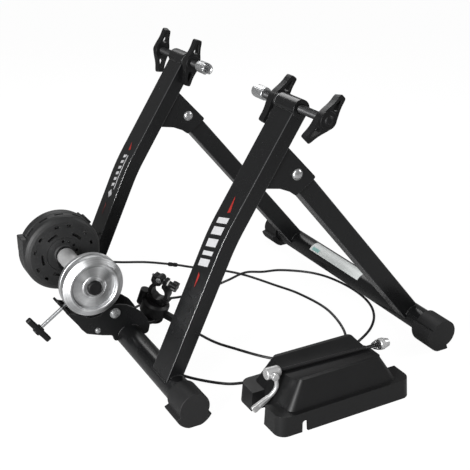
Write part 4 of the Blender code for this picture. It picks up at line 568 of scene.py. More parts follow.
HOUSING_PLASTIC = surface("housing_plastic", "black_plastic", (0.0122, 0.0124, 0.0127), 0.50, patch=0.02,
                          grain=0.0004, grain_height=0.000015)
SHIFTER_PLASTIC = surface("shifter_plastic", "black_plastic", (0.0070, 0.0070, 0.0074), 0.38, patch=0.01,
                          grain=0.0004, grain_height=0.000008, specular=0.35)
RISER_PLASTIC = surface("riser_plastic", "black_plastic", (0.0065, 0.0066, 0.0069), 0.42, patch=0.03,
                        grain=0.0006, grain_height=0.00002, specular=0.35)
CABLE_SKIN = surface("cable_skin", "black_rubber", (0.010, 0.010, 0.011), 0.35, patch=0.02, grain=0.0006,
                     grain_height=0.000004)
CHROME = surface("chrome_plate", "bright_steel", (0.52, 0.525, 0.53), 0.26, 0.85, patch=0.01, shade=0.05,
                 gloss_shift=0.04, grain=0.0006, grain_height=0.000002)
ZINC = surface("zinc_plate", "bright_steel", (0.60, 0.61, 0.62), 0.30, 0.9, patch=0.006, shade=0.08,
               gloss_shift=0.06, grain=0.0005, grain_height=0.000004)
DARK_STEEL = surface("blackened_steel", "black_steel", (0.018, 0.018, 0.019), 0.40, 0.4, patch=0.008,
                     grain=0.0005, grain_height=0.000006)
GREY_STEEL = surface("grey_steel_dressed", "grey_steel", (0.32, 0.33, 0.34), 0.34, 1.0, patch=0.01,
                     grain=0.0005, grain_height=0.000004)
# The flywheel's face carries painted highlight and shade fans round the axle.
TURNED = surface("turned_aluminium_dressed", "turned_metal", (0.50, 0.505, 0.51), 0.36, 0.9, patch=0.03,
                 shade=0.05, grain=0.0007, grain_height=0.00005,
                 axle=(AXLE_X + TO_CENTRE.translation.x, AXLE_Z))
ROLLER_METAL = surface("roller_aluminium", "turned_metal", (0.62, 0.62, 0.62), 0.44, 0.6, patch=0.01,
                       shade=0.06, grain=0.0006, grain_height=0.000005)
CAST = surface("cast_aluminium_dressed", "turned_metal", (0.66, 0.66, 0.66), 0.34, 0.65, patch=0.01,
               shade=0.06, grain=0.0006, grain_height=0.00001)
NYLON = surface("nylon_dressed", "white_nylon", (0.80, 0.80, 0.78), 0.45, patch=0.01, shade=0.03)
SILVER_PRINT = surface("silver_print", "white_nylon", (0.50, 0.50, 0.51), 0.45, patch=0.01, shade=0.05,
                       grain=0.0004, grain_height=0.000003)
RED_PRINT = surface("red_print", "white_nylon", (0.30, 0.016, 0.012), 0.45, patch=0.004, shade=0.35,
                    grain=0.0004, grain_height=0.000003)
# A darker red, used for the far upright's low dash.
DARKER_RED = surface("darker_red_print", "white_nylon", (0.10, 0.012, 0.010), 0.5, patch=0.004, shade=0.4,
                    grain=0.0004, grain_height=0.000003)
LABEL = surface("blank_label", "white_nylon", (0.74, 0.77, 0.76), 0.40, patch=0.02, shade=0.04)
LABEL_PATCH = surface("label_patch", "white_nylon", (0.30, 0.55, 0.52), 0.40, patch=0.01, shade=0.10)


# Control cable
BOOT_START = Vector((AXLE_X + CABLE_OUT * math.cos(CABLE_BLOCK_ANGLE), HOUSING_BACK + GAP,
                     AXLE_Z + CABLE_OUT * math.sin(CABLE_BLOCK_ANGLE)))
BOOT_RIBS = 6
BOOT_RADIUS = 0.0034
FLOOR_CABLE = CABLE_RADIUS + 0.0008
OVER_CABLE = FLOOR_CABLE + 2 * CABLE_RADIUS + 3 * GAP
JOINER_HEIGHT = JOINER_RADIUS + GAP
# Places from the housing to the shifter; those without a height are on the floor.
CABLE_ROUTE = [Vector((*place, FLOOR_CABLE)[:3]) for place in (
    (-0.0130, 0.1180, 0.1600), (0.0000, 0.1500, 0.1340), (0.0120, 0.1800, 0.1080),
    (0.0300, 0.2150, 0.0720), (0.0540, 0.2450, 0.0360), (0.0780, 0.2640, 0.0110), (0.1000, 0.2660),
    (0.1391, 0.2449), (0.1680, 0.2185, JOINER_HEIGHT), (0.1850, 0.2025, JOINER_HEIGHT), (0.2022, 0.1868),
    (0.2400, 0.1520), (0.2670, 0.1148), (0.2919, 0.0573), (0.3104, 0.0094), (0.3190, -0.0589),
    (0.2998, -0.1324), (0.2650, -0.1680), (0.2200, -0.1850), (0.1600, -0.1920), (0.1000, -0.1800),
    (0.0719, -0.1657), (0.0381, -0.1271), (0.0270, -0.0900), (0.0262, -0.0450), (0.0270, 0.0000),
    (0.0290, 0.0450), (0.0520, 0.0900), (0.0950, 0.1010), (0.1400, 0.0930), (0.1850, 0.0980),
    (0.2325, 0.1114), (0.2670, 0.1148, OVER_CABLE), (0.3000, 0.1120), (0.3295, 0.1036), (0.3640, 0.0770),
    (0.3840, 0.0466), (0.3945, 0.0050), (0.3960, -0.0372), (0.3880, -0.0760), (0.3702, -0.1095),
    (0.3440, -0.1370), (0.3131, -0.1569), (0.2820, -0.1700), (0.2480, -0.1760, OVER_CABLE),
    (0.2100, -0.1700), (0.1659, -0.1421), (0.1295, -0.0870), (0.1171, -0.0637), (0.1085, -0.0352))]


def control_cable():
    """The cable from the housing's boot over the floor to the shifter, with its joiner."""
    end = SHIFTER @ Vector((CABLE_SOCKET_END, 0.0, 0.0052))
    way = (SHIFTER.to_3x3() @ Vector((1.0, 0.0, 0.0))).normalized()
    route = [BOOT_START + OVER * CABLE_LEAD] + CABLE_ROUTE + [end + way * (CABLE_LEAD - CABLE_BOOT_LENGTH)]
    points = [BOOT_START + OVER * (CABLE_BOOT_LENGTH + GAP)] + smooth_route(route, 0.004) + [end + way * GAP]
    line = bpy.data.curves.new("control_cable_dressed", "CURVE")
    line.dimensions = "3D"
    line.bevel_depth = CABLE_RADIUS
    line.bevel_resolution = 4
    line.use_fill_caps = True
    spline = line.splines.new("POLY")
    spline.points.add(len(points) - 1)
    for point, place in zip(spline.points, points):
        point.co = (*place, 1.0)
    spline.use_smooth = True
    made = bpy.data.objects.new("control_cable_dressed", line)
    SCENE.collection.objects.link(made)
    line.materials.append(CABLE_SKIN)
    line.transform(TO_CENTRE)
    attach(made, BODY_OF["control_cable"])
    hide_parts("control_cable")
    cable_joiner()


def cable_joiner():
    """The barrel on the cable: two thicker ends and a waist."""
    first, last = CABLE_ROUTE[8:10]
    half = 0.008
    end = [(0.0026, half), (0.0030, half), (0.0036, half - 0.0014), (0.0036, 0.0022), (0.0032, 0.0016)]
    profile = rounded(end + [(r, -h) for r, h in end[::-1]], 0.0003, 2)
    made = turned("cable_joiner_dressed", profile, pointing((first + last) / 2, last - first), 40, True)
    return stands_for(made, HANDLE_PLASTIC, "cable_joiner")


def cable_boot():
    """The ribbed, tapered boot where the cable leaves the housing."""
    ribs = []
    pitch = CABLE_BOOT_LENGTH / BOOT_RIBS
    for k in range(BOOT_RIBS):
        low = k * pitch
        radius = BOOT_RADIUS - 0.0012 * k / BOOT_RIBS
        ribs += [(radius, low + 0.0001), (radius, low + 0.0011), (radius - 0.0004, low + 0.0014),
                 (radius - 0.0004, low + pitch - 0.0001)]
    profile = ([(0.0, 0.0), (BOOT_RADIUS, 0.0)] + ribs[1:-1]
               + [(0.0021, CABLE_BOOT_LENGTH), (0.0, CABLE_BOOT_LENGTH)])
    made = turned("cable_boot_dressed", profile, pointing(BOOT_START, OVER), 32)
    stands_for(made, FOOT_RUBBER, "cable_boot")


control_cable()
cable_boot()


# Cross tubes and feet
WELD_SIZE = 0.0011


def bead(name, path, body, size=WELD_SIZE):
    """A rippled weld bead under the paint."""
    path = smooth_route(path, 0.0008)
    radii = [size * (1 + 0.16 * math.sin(i * 1.9) + 0.06 * math.sin(i * 0.7)) for i in range(len(path))]
    for end in (0, -1):
        radii[end] *= 0.55
    fitted(swept(name, path, radii, 10), FRAME_PAINT, body, angle=70)


def bead_along(name, points, y, body):
    """A weld bead along a tube's mouth, at one of its sides."""
    bead(name, [Vector((p.x, y, p.z)) for p in points[2:-2:3]], body)


def bead_across(name, point, side_to_side, body):
    """A weld bead straight across a tube at one end of its mouth."""
    bead(name, [Vector((point.x, y, point.z)) for y in side_to_side], body)


def cross_tube(name, axis):
    """A round tube with slightly eased ends."""
    end = FOOT_FACE - FOOT_END_WALL - GAP
    profile = [(TUBE_RADIUS - TUBE_WALL, -end), (TUBE_RADIUS - 0.0003, -end), (TUBE_RADIUS, -end + 0.0003),
               (TUBE_RADIUS, end - 0.0003), (TUBE_RADIUS - 0.0003, end), (TUBE_RADIUS - TUBE_WALL, end)]
    made = turned(f"{name}_dressed", profile, outward(axis.x, axis.z), 96, True)
    stands_for(made, FRAME_PAINT, name)


def foot(node, axis, side, pad_start, pad_end):
    """A rubber cap with a thick stepped pad and a closed end."""
    flat = math.degrees(math.asin(TUBE_HEIGHT / FOOT_PAD_RADIUS))
    pad = (arc(0, 0, FOOT_PAD_RADIUS, pad_start, 180 + flat, 18)
           + arc(0, 0, FOOT_PAD_RADIUS, 360 - flat, pad_end, 14))
    thin = arc(0, 0, FOOT_RADIUS, pad_end, pad_start + 360, 56)
    inner = FOOT_FACE - FOOT_LENGTH
    made = prism(f"{node}_dressed", pad + thin, inner, FOOT_FACE, outward(axis.x, axis.z, side))
    worked(made, [along_y("socket", axis.x, axis.z, side * (inner - 0.001),
                          side * (FOOT_FACE - FOOT_END_WALL), TUBE_RADIUS + GAP, 96)])
    bevelled(made, 0.0011, 3)
    stands_for(made, FOOT_RUBBER, node)


cross_tube("rear_cross_tube", REAR_TUBE)
cross_tube("front_cross_tube", FRONT_TUBE)
foot("near_rear_foot", REAR_TUBE, -1, 200, 330)
foot("far_rear_foot", REAR_TUBE, 1, 215, 345)
foot("near_front_foot", FRONT_TUBE, -1, 155, 292)
foot("far_front_foot", FRONT_TUBE, 1, 195, 325)


# Uprights
LOW = Vector((math.sin(LEAN_LOW), 0.0, math.cos(LEAN_LOW)))
HIGH = Vector((math.sin(LEAN_HIGH), 0.0, math.cos(LEAN_HIGH)))
NORMAL_LOW = Vector((-LOW.z, 0.0, LOW.x))
NORMAL_HIGH = Vector((-HIGH.z, 0.0, HIGH.x))
UPRIGHT_START = REAR_TUBE + NORMAL_LOW * (TUBE_RADIUS - 0.0002)
BEND = UPRIGHT_START + LOW * ((BEND_HEIGHT - UPRIGHT_START.z) / LOW.z)
BEND_STEPS = 16
MOUTH_STEPS = 24


def on_bend(share):
    """A point of the rear face's bend line, and the way that the face looks there."""
    low, high = BEND - LOW * BEND_LENGTH / 2, BEND + HIGH * BEND_LENGTH / 2
    lean = LEAN_LOW + (LEAN_HIGH - LEAN_LOW) * share
    return (low.lerp(BEND, share).lerp(BEND.lerp(high, share), share),
            Vector((-math.cos(lean), 0.0, math.sin(lean))))


def upright_line(inset):
    """The line along the bent tube between its two mouths, moved in from its rear face."""
    line = [on_bend(step / BEND_STEPS) for step in range(BEND_STEPS + 1)]
    return [point - normal * inset for point, normal in line]


def mouth_arc(centre, along, normal, radius, first, last):
    """A mouth's curve round a tube, from one distance across the tube's axis to another."""
    reach = [first + (last - first) * step / MOUTH_STEPS for step in range(MOUTH_STEPS + 1)]
    return [centre + normal * d + along * math.sqrt(radius ** 2 - d ** 2) for d in reach]


def upright(prefix, side):
    """A bent rectangular tube with round corners, cut to fit round the cross tube and the sleeve."""
    foot_radius = TUBE_RADIUS + GAP
    top_radius = SLEEVE_RADIUS + GAP
    rear_low = (UPRIGHT_START - REAR_TUBE).dot(NORMAL_LOW)
    foot_arc = mouth_arc(REAR_TUBE, LOW, NORMAL_LOW, foot_radius, rear_low - UPRIGHT_DEPTH, rear_low)
    rear_high = (BEND - SPINDLE).dot(NORMAL_HIGH)
    top_arc = mouth_arc(SPINDLE, -HIGH, NORMAL_HIGH, top_radius, max(-top_radius, min(top_radius, rear_high)),
                        max(-top_radius, min(top_radius, rear_high - UPRIGHT_DEPTH)))
    loop = foot_arc + upright_line(0.0) + top_arc + upright_line(UPRIGHT_DEPTH)[::-1]
    y0 = side * UPRIGHT_Y - UPRIGHT_WIDTH / 2
    made = plate(f"{prefix}_upright_dressed", [(p.x, p.z) for p in loop], y0, y0 + UPRIGHT_WIDTH)
    ends = foot_arc + top_arc

    def long_edge(edge):
        crossways = abs(edge.verts[0].co.y - edge.verts[1].co.y) > 0.001
        at_mouth = all(min((Vector((v.co.x, 0.0, v.co.z)) - p).length for p in ends) < 0.00005
                       for v in edge.verts)
        return not crossways and not at_mouth

    bevelled(made, 0.0026, 5, 35.0, long_edge)
    stands_for(made, FRAME_PAINT, f"{prefix}_upright")
    inner, outer = UPRIGHT_Y - UPRIGHT_WIDTH / 2, UPRIGHT_Y + UPRIGHT_WIDTH / 2
    for label, points, sides in (("foot", foot_arc, (("inner", inner), ("outer", outer))),
                                 ("top", top_arc, (("outer", outer),))):
        for edge, y in sides:
            bead_along(f"{prefix}_upright_{label}_{edge}_weld", points, side * y, "frame")
        last_is_rear = -1 if label == "foot" else 0
        for edge, point in (("rear", points[last_is_rear]), ("front", points[-1 - last_is_rear])):
            bead_across(f"{prefix}_upright_{label}_{edge}_weld", point,
                        (side * (inner + 0.002), side * (outer - 0.002)), "frame")


def sleeve(prefix, side):
    """The threaded sleeve across an upright's top."""
    made = collar(f"{prefix}_sleeve_dressed", SPINDLE_RADIUS + RUN, SLEEVE_RADIUS, SLEEVE_OUTER, SLEEVE_INNER,
                  0.0010, 4, outward(SPINDLE_X, SPINDLE_Z, side), 72)
    stands_for(made, FRAME_PAINT, f"{prefix}_spindle_sleeve")


# Gussets, legs and bolts
GUSSET_SIDE = [(0.1640, 0.3247), (0.2079, 0.2775), (0.2035, 0.2735), (0.1781, 0.2567), (0.1689, 0.2638),
               (0.1539, 0.2704), (0.1316, 0.2745)]


def gusset(prefix, side):
    """A folded channel on the upright's front face, its two sides reaching forward to the bolt."""
    normal = -NORMAL_HIGH
    on_face = BEND + HIGH * 0.1 - NORMAL_HIGH * (UPRIGHT_DEPTH + GAP)
    start, end = (on_face + HIGH * (Vector((x, 0, z)) - on_face).dot(HIGH)
                  for x, z in (GUSSET_SIDE[-1], GUSSET_SIDE[0]))
    loop = rounded([(start.x, start.z), (end.x, end.z)] + GUSSET_SIDE[1:-1], 0.004, 4, keep=(0, 1))
    middle, half = side * UPRIGHT_Y, GUSSET_WIDTH / 2
    made = plate(f"{prefix}_gusset_dressed", loop, middle - half, middle + half)
    inner_start = start + normal * GUSSET_WALL - HIGH * 0.05
    inner_end = end + normal * GUSSET_WALL + HIGH * 0.05
    channel = plate("channel", [(inner_start.x, inner_start.z), (inner_end.x, inner_end.z), (0.30, 0.38),
                                (0.30, 0.15), (0.12, 0.15)], middle - half + GUSSET_WALL,
                    middle + half - GUSSET_WALL)
    worked(made, [channel, along_y("hole", PIVOT_X, PIVOT_Z, middle - 0.03, middle + 0.03,
                                   BOLT_RADIUS + GAP)])
    bevelled(made, 0.0007, 3)
    stands_for(made, FRAME_PAINT, f"{prefix}_gusset")
    for edge in (-1, 1):
        path = [start.lerp(end, share) - NORMAL_HIGH * 0.0002 for share in (0.08, 0.92)]
        bead(f"{prefix}_gusset_weld_{edge + 1}", [Vector((p.x, middle + edge * half, p.z)) for p in path],
             "frame", 0.0010)


def leg(prefix, side):
    """A rectangular tube with round corners, open at its upper end and cut to fit round the front tube."""
    along = (FRONT_TUBE - PIVOT).normalized()
    across = Vector((-along.z, 0.0, along.x))
    half = LEG_DEPTH / 2
    mouth = mouth_arc(FRONT_TUBE, -along, across, TUBE_RADIUS + GAP, half, -half)
    tail = [PIVOT - along * LEG_TAIL - across * half, PIVOT - along * LEG_TAIL + across * half]
    loop = [(p.x, p.z) for p in mouth + tail]
    low, high = side * LEG_Y - LEG_WIDTH / 2, side * LEG_Y + LEG_WIDTH / 2
    made = plate(f"{prefix}_leg_dressed", loop, low, high)

    def long_edge(edge):
        return abs((edge.verts[0].co - edge.verts[1].co).dot(along)) > 0.05

    bevelled(made, 0.0022, 4, 35.0, long_edge)
    with opened(made) as bm:
        ends = [f for f in bm.faces if f.normal.dot(-along) > 0.99]
        bmesh.ops.inset_region(bm, faces=ends, thickness=TUBE_WALL, use_even_offset=True)
        out = bmesh.ops.extrude_face_region(bm, geom=ends)
        bmesh.ops.translate(bm, verts=verts_in(out), vec=along * LEG_HOLLOW)
        bmesh.ops.delete(bm, geom=[f for f in ends if f.is_valid], context="FACES_ONLY")
    stands_for(made, FRAME_PAINT, f"{prefix}_leg")
    for edge, y in (("inner", side * (LEG_Y - LEG_WIDTH / 2)), ("outer", side * (LEG_Y + LEG_WIDTH / 2))):
        bead_along(f"{prefix}_leg_{edge}_weld", mouth, y, "front_frame")
    for edge, point in (("top", mouth[-1]), ("under", mouth[0])):
        bead_across(f"{prefix}_leg_{edge}_weld", point, (low + 0.002, high - 0.002), "front_frame")


def pivot_bolt(prefix, side):
    """A domed bolt with a washer face at each side of the gusset."""
    half = GUSSET_WIDTH / 2 + GAP
    top = half + 0.0042
    head = 0.0076
    dome = [(0.0, top), (head * 0.30, top - 0.0001), (head * 0.52, top - 0.0005), (head * 0.72, top - 0.0012),
            (head * 0.88, top - 0.0022), (head * 0.93, half + 0.0012), (head, half + 0.0010), (head, half)]
    profile = dome + [(BOLT_RADIUS, half), (BOLT_RADIUS, -half)] + [(r, -h) for r, h in dome[::-1]]
    place = outward(PIVOT_X, PIVOT_Z, side) @ Matrix.Translation((0, 0, UPRIGHT_Y))
    made = turned(f"{prefix}_leg_bolt_dressed", profile, place, 56)
    stands_for(made, CHROME, f"{prefix}_leg_bolt")


# Spindles, cups, handles and lock nuts
def thread(radius, depth, pitch, low, high):
    """A zigzag thread profile between two heights, from the high end down."""
    points = []
    for i in range(int((high - low) / pitch)):
        top = high - i * pitch
        points += [(radius - depth, top - pitch * 0.05), (radius, top - pitch * 0.42),
                   (radius, top - pitch * 0.58), (radius - depth, top - pitch * 0.95)]
    return points


def fluted(radius, depth, count):
    """A circle with round flutes."""
    points = []
    for i in range(count):
        for share, drop in ((0.0, 0.0), (0.30, 0.0), (0.42, 0.6), (0.58, 1.0), (0.72, 1.0), (0.88, 0.6)):
            a = 2 * math.pi * (i + share) / count
            r = radius - depth * drop
            points.append((r * math.cos(a), r * math.sin(a)))
    return points


def axle_cup(prefix, side):
    """A fluted cup with a slotted mouth, plain collars at both ends and a chamfered bore."""
    place = outward(SPINDLE_X, SPINDLE_Z, side)
    plain = CUP_RADIUS - 0.0004
    made = prism(f"{prefix}_cup_dressed", fluted(CUP_RADIUS, 0.00022, CUP_FLUTES), CUP_MOUTH + 0.0035,
                 CUP_BACK - 0.0020, place)
    worked(made, [collar("front", 0.0, plain, CUP_MOUTH + 0.0040, CUP_MOUTH, 0.0007, 3, place),
                  collar("rear", 0.0, plain, CUP_BACK, CUP_BACK - 0.0025, 0.0006, 3, place)], "UNION")
    bore = turned("bore", [(0.0, CUP_MOUTH + CUP_DEPTH), (CUP_BORE, CUP_MOUTH + CUP_DEPTH),
                           (CUP_BORE, CUP_MOUTH + 0.001), (CUP_BORE + 0.001, CUP_MOUTH),
                           (CUP_BORE + 0.001, CUP_MOUTH - 0.002), (0.0, CUP_MOUTH - 0.002)], place)
    seat = along_y("seat", SPINDLE_X, SPINDLE_Z, side * (CUP_BACK - 0.0053), side * (CUP_BACK + 0.002), 0.004)
    low, high = sorted((side * (CUP_MOUTH - 0.002), side * (CUP_MOUTH + CUP_SLOT_DEPTH)))
    slot = block("slot", (SPINDLE_X - CUP_SLOT / 2, low, SPINDLE_Z - 0.012),
                 (SPINDLE_X + CUP_SLOT / 2, high, SPINDLE_Z + 0.012))
    worked(made, [bore, seat, slot])
    stands_for(made, CHROME, f"{prefix}_axle_cup", angle=32)


def spindle(prefix, side):
    """The threaded spindle, its plain end in the handle and its spigot in the cup."""
    outer = TEE_INNER + TEE_SOCKET - GAP
    eased = SPINDLE_RADIUS - 0.0006
    profile = ([(0.0, outer), (eased, outer), (SPINDLE_RADIUS, outer - 0.0006),
                (SPINDLE_RADIUS, TEE_INNER + 0.001)]
               + thread(SPINDLE_RADIUS, 0.0007, 0.0020, CUP_BACK + 0.0015, TEE_INNER + 0.001)
               + [(eased, CUP_BACK + GAP), (0.0036, CUP_BACK + GAP), (0.0036, CUP_BACK - 0.005),
                  (0.0, CUP_BACK - 0.005)])
    made = turned(f"{prefix}_spindle_dressed", profile, outward(SPINDLE_X, SPINDLE_Z, side), 48)
    stands_for(made, DARK_STEEL, f"{prefix}_spindle_screw", angle=24)


def wing(name, thickness, soft, place):
    """One wing from the spindle's axis along +X: broad root, blunt tip, round edges and a tapered window."""
    reach = WING_SPAN / 2
    edge = [(WING_START, WING_ROOT), (0.14 * reach, WING_ROOT * 0.98), (0.24 * reach, WING_ROOT * 0.91),
            (0.34 * reach, WING_ROOT * 0.81), (0.45 * reach, WING_ROOT * 0.69),
            (0.57 * reach, WING_ROOT * 0.59), (0.70 * reach, WING_TIP * 1.24),
            (0.86 * reach, WING_TIP * 1.14), (reach, WING_TIP * 0.96)]
    hull = rounded(edge + [(x, -y) for x, y in edge[::-1]], 0.0030, 5, keep=(0, 2 * len(edge) - 1))
    made = prism(name, hull, -thickness / 2, thickness / 2)
    bevelled(made, soft, 5, 50.0, lambda e: min(v.co.x for v in e.verts) > WING_START + 0.0001)
    window = (arc(WINDOW_START + WINDOW_ROOT, 0, WINDOW_ROOT, 90, 270, 16)
              + arc(WINDOW_END - WINDOW_TIP, 0, WINDOW_TIP, -80, 80, 8))
    worked(made, [prism("window", window, -0.02, 0.02)])
    bevelled(made, 0.0007, 3, 50.0, lambda e: all(WINDOW_START - 0.0005 < v.co.x < WINDOW_END + 0.0005
                                                  and abs(v.co.y) < WINDOW_ROOT + 0.0003 for v in e.verts))
    made.data.transform(place)
    return made


def grip(name, side, middle, thickness, angle, sweep, hub_profile, bore, bore_low, bore_high):
    """A moulded grip: two windowed wings swept back from a round hub with a bore."""
    axis = outward(SPINDLE_X, SPINDLE_Z, side)
    wings = []
    for way, turn in (("one", 0.0), ("other", math.pi)):
        place = (axis @ Matrix.Translation((0, 0, middle))
                 @ Matrix.Rotation(math.radians(angle) + turn, 4, "Z")
                 @ Matrix.Rotation(sweep, 4, "Y"))
        wings.append(wing(f"{name}_{way}", thickness, 0.0030, place))
    made = turned(name, hub_profile, axis, 72)
    for part in wings:
        worked(made, [part], "UNION")
    return worked(made, [along_y("bore", SPINDLE_X, SPINDLE_Z, side * bore_low, side * bore_high, bore, 48)])


def tee_handle(prefix, side, angle):
    """The T-handle on the spindle's outer end, its tips swept inwards."""
    outer = TEE_INNER + TEE_HUB_LENGTH
    dome, tall = TEE_DOME_RADIUS, TEE_DOME_HEIGHT
    hub = rounded([(0.0, outer + tall), (dome * 0.45, outer + tall * 0.93),
                   (dome * 0.80, outer + tall * 0.62),
                   (dome, outer + 0.0004), (dome + 0.0007, outer), (WING_HUB_RADIUS, outer),
                   (WING_HUB_RADIUS, TEE_INNER), (0.0, TEE_INNER)], 0.0012, 4, False)
    made = grip(f"{prefix}_tee_handle_dressed", side, TEE_INNER + TEE_HUB_LENGTH / 2, TEE_THICKNESS, angle,
                TEE_SWEEP, hub, SPINDLE_RADIUS + GAP, TEE_INNER - 0.006, TEE_INNER + TEE_SOCKET)
    stands_for(made, HANDLE_PLASTIC, f"{prefix}_tee_handle")


def lock_wing(prefix, side, angle):
    """The wing nut that locks the spindle against the upright."""
    outer = SLEEVE_INNER - 2 * GAP - LOCK_WASHER
    inner = outer - LOCK_HUB_LENGTH
    hub = rounded([(0.0, outer), (WING_HUB_RADIUS, outer), (WING_HUB_RADIUS, inner), (0.0, inner)], 0.0014, 5,
                  False)
    made = grip(f"{prefix}_lock_wing_dressed", side, inner + 0.001 + LOCK_THICKNESS / 2, LOCK_THICKNESS,
                angle, 0.0, hub, SPINDLE_RADIUS + RUN, inner - 0.002, outer + 0.002)
    stands_for(made, HANDLE_PLASTIC, f"{prefix}_lock_wing")


def lock_washer(prefix, side):
    """The bright washer between wing nut and upright."""
    high = SLEEVE_INNER - GAP
    made = collar(f"{prefix}_washer_dressed", SPINDLE_RADIUS + RUN, LOCK_WASHER_RADIUS, high,
                  high - LOCK_WASHER, 0.0004, 3, outward(SPINDLE_X, SPINDLE_Z, side))
    stands_for(made, CHROME, f"{prefix}_lock_washer")


for prefix, side, tee_angle, lock_angle in (("near", -1, 44, 52), ("far", 1, 77, 72)):
    upright(prefix, side)
    sleeve(prefix, side)
    gusset(prefix, side)
    leg(prefix, side)
    pivot_bolt(prefix, side)
    axle_cup(prefix, side)
    spindle(prefix, side)
    tee_handle(prefix, side, tee_angle)
    lock_wing(prefix, side, lock_angle)
    lock_washer(prefix, side)


# Unit bracket, swing arm and adjuster
ALONG = Vector((math.cos(ADJUST_ANGLE), 0.0, math.sin(ADJUST_ANGLE)))
UP = Vector((-math.sin(ADJUST_ANGLE), 0.0, math.cos(ADJUST_ANGLE)))
SCREW_BORE = 0.0031
THROUGH = 0.04
SMALL_BOLT = (-0.0469, 0.0470)
BRACKET_SIDE = [(-0.0698, 0.0535), (-0.0630, 0.0454), (-0.0515, 0.0410), (-0.0400, 0.0370), (-0.0250, 0.0330),
                (-0.0235, 0.0230), (0.0290, 0.0230), (0.0320, 0.0365), (0.0277, 0.0473), (0.0204, 0.0589),
                (0.0101, 0.0679), (-0.0017, 0.0755), (-0.0121, 0.0790), (-0.0230, 0.0805), (-0.0330, 0.0765),
                (-0.0420, 0.0690), (-0.0560, 0.0680), (-0.0700, 0.0760)]


def bracket():
    """Two plates that saddle the rear cross tube, joined by the adjuster's folded tab."""
    low = TAB - UP * 0.0235
    high = TAB + UP * 0.004
    loop = rounded([(high.x, high.z), (low.x, low.z)] + BRACKET_SIDE, 0.006, 4, keep=(0, 1))
    made = plate("unit_bracket_dressed", loop, -BRACKET_HALF, -BRACKET_HALF + BRACKET_WALL)
    far = plate("far_plate", loop, BRACKET_HALF - BRACKET_WALL, BRACKET_HALF)
    half = BRACKET_HALF - 0.0002
    tab_loop = ([(-half, -0.0235), (half, -0.0235), (half, -0.001), (0.010, 0.006)]
                + arc(0, 0.010, 0.010, 0, 180, 24) + [(-0.010, 0.006), (-half, -0.001)])
    worked(made, [far, prism("tab", tab_loop, 0.0, BRACKET_WALL, framed(TAB, OVER, UP, ALONG))], "UNION")
    worked(made, [along_y("tube", 0.0, TUBE_HEIGHT, -THROUGH, THROUGH, TUBE_RADIUS + GAP, 96),
                  along_y("pin", SWING_X, SWING_Z, -THROUGH, THROUGH, 0.0043),
                  along_y("small", *SMALL_BOLT, -THROUGH, THROUGH, 0.0025),
                  rod("screw", TAB - ALONG * 0.01, TAB + ALONG * 0.02, SCREW_BORE)])
    bevelled(made, 0.0006, 3)
    stands_for(made, BRACKET_PAINT, "unit_bracket")
    for side in (-1, 1):
        for label, start, end in (("rear", 110, 165), ("front", 15, 75)):
            path = [Vector((x, side * BRACKET_HALF, z))
                    for x, z in arc(0.0, TUBE_HEIGHT, TUBE_RADIUS + 0.0004, start, end, 12)]
            bead(f"bracket_{label}_weld_{side + 1}", path, "frame", 0.0012)


def through_bolt(name, node, x, z, radius, head, height, washer):
    """A bolt along Y through both bracket plates, with a washer and a domed head at each end."""
    half = BRACKET_HALF + GAP
    top = half + height
    cap = [(0.0, top), (head * 0.40, top - height * 0.03), (head * 0.66, top - height * 0.14),
           (head * 0.82, top - height * 0.32), (head * 0.86, half + washer), (head, half + washer * 0.85),
           (head, half)]
    profile = cap + [(radius, half), (radius, -half)] + [(r, -h) for r, h in cap[::-1]]
    stands_for(turned(name, profile, outward(x, z), 56), CHROME, node)


def swing_arm():
    """The arm that carries the unit: lugs on the bolt, an inclined web, and an ear at each roller end."""
    outer = BRACKET_HALF - BRACKET_WALL - 0.0005
    wall = EAR_WALL
    hit = TAB + ALONG * SCREW_TO_ARM
    web_low = hit - UP * 0.022
    web_high = hit + UP * 0.020
    lug = arc(SWING_X, SWING_Z, 0.0105, -150, 20, 20) + [
        (-0.0300, 0.1020), (web_high.x + ALONG.x * wall, web_high.z + ALONG.z * wall),
        (web_high.x, web_high.z), (web_low.x, web_low.z)]
    made = plate("swing_arm_dressed", lug, -outer, -outer + wall)
    far = plate("far_lug", lug, outer - wall, outer)
    ear = arc(AXLE_X, AXLE_Z, 0.0125, -5, 200, 32) + [
        (web_high.x - 0.002, web_high.z + 0.004), (hit.x, hit.z),
        (hit.x + ALONG.x * wall, hit.z + ALONG.z * wall), (-0.0440, 0.1130)]
    near_ear, far_ear = (plate(name, ear, y - wall / 2, y + wall / 2)
                         for name, y in (("near_ear", NEAR_EAR), ("far_ear", FAR_EAR)))
    place = framed(hit, ALONG, OVER, UP)
    web = block("web", (0.0, -outer + 0.0001, -0.022), (wall, outer - 0.0001, 0.0), place)
    wide = block("wide", (0.0, NEAR_EAR - wall / 2 + 0.0001, -0.002),
                 (wall, FAR_EAR + wall / 2 - 0.0001, 0.0195), place)
    worked(made, [far, near_ear, far_ear, web, wide], "UNION")
    worked(made, [along_y("pin", SWING_X, SWING_Z, -THROUGH, THROUGH, 0.0044),
                  along_y("seat", AXLE_X, AXLE_Z, NEAR_EAR - 0.01, FAR_EAR + 0.01, 0.0098, 64)])
    bevelled(made, 0.0005, 3)
    stands_for(made, BRACKET_PAINT, "swing_arm")


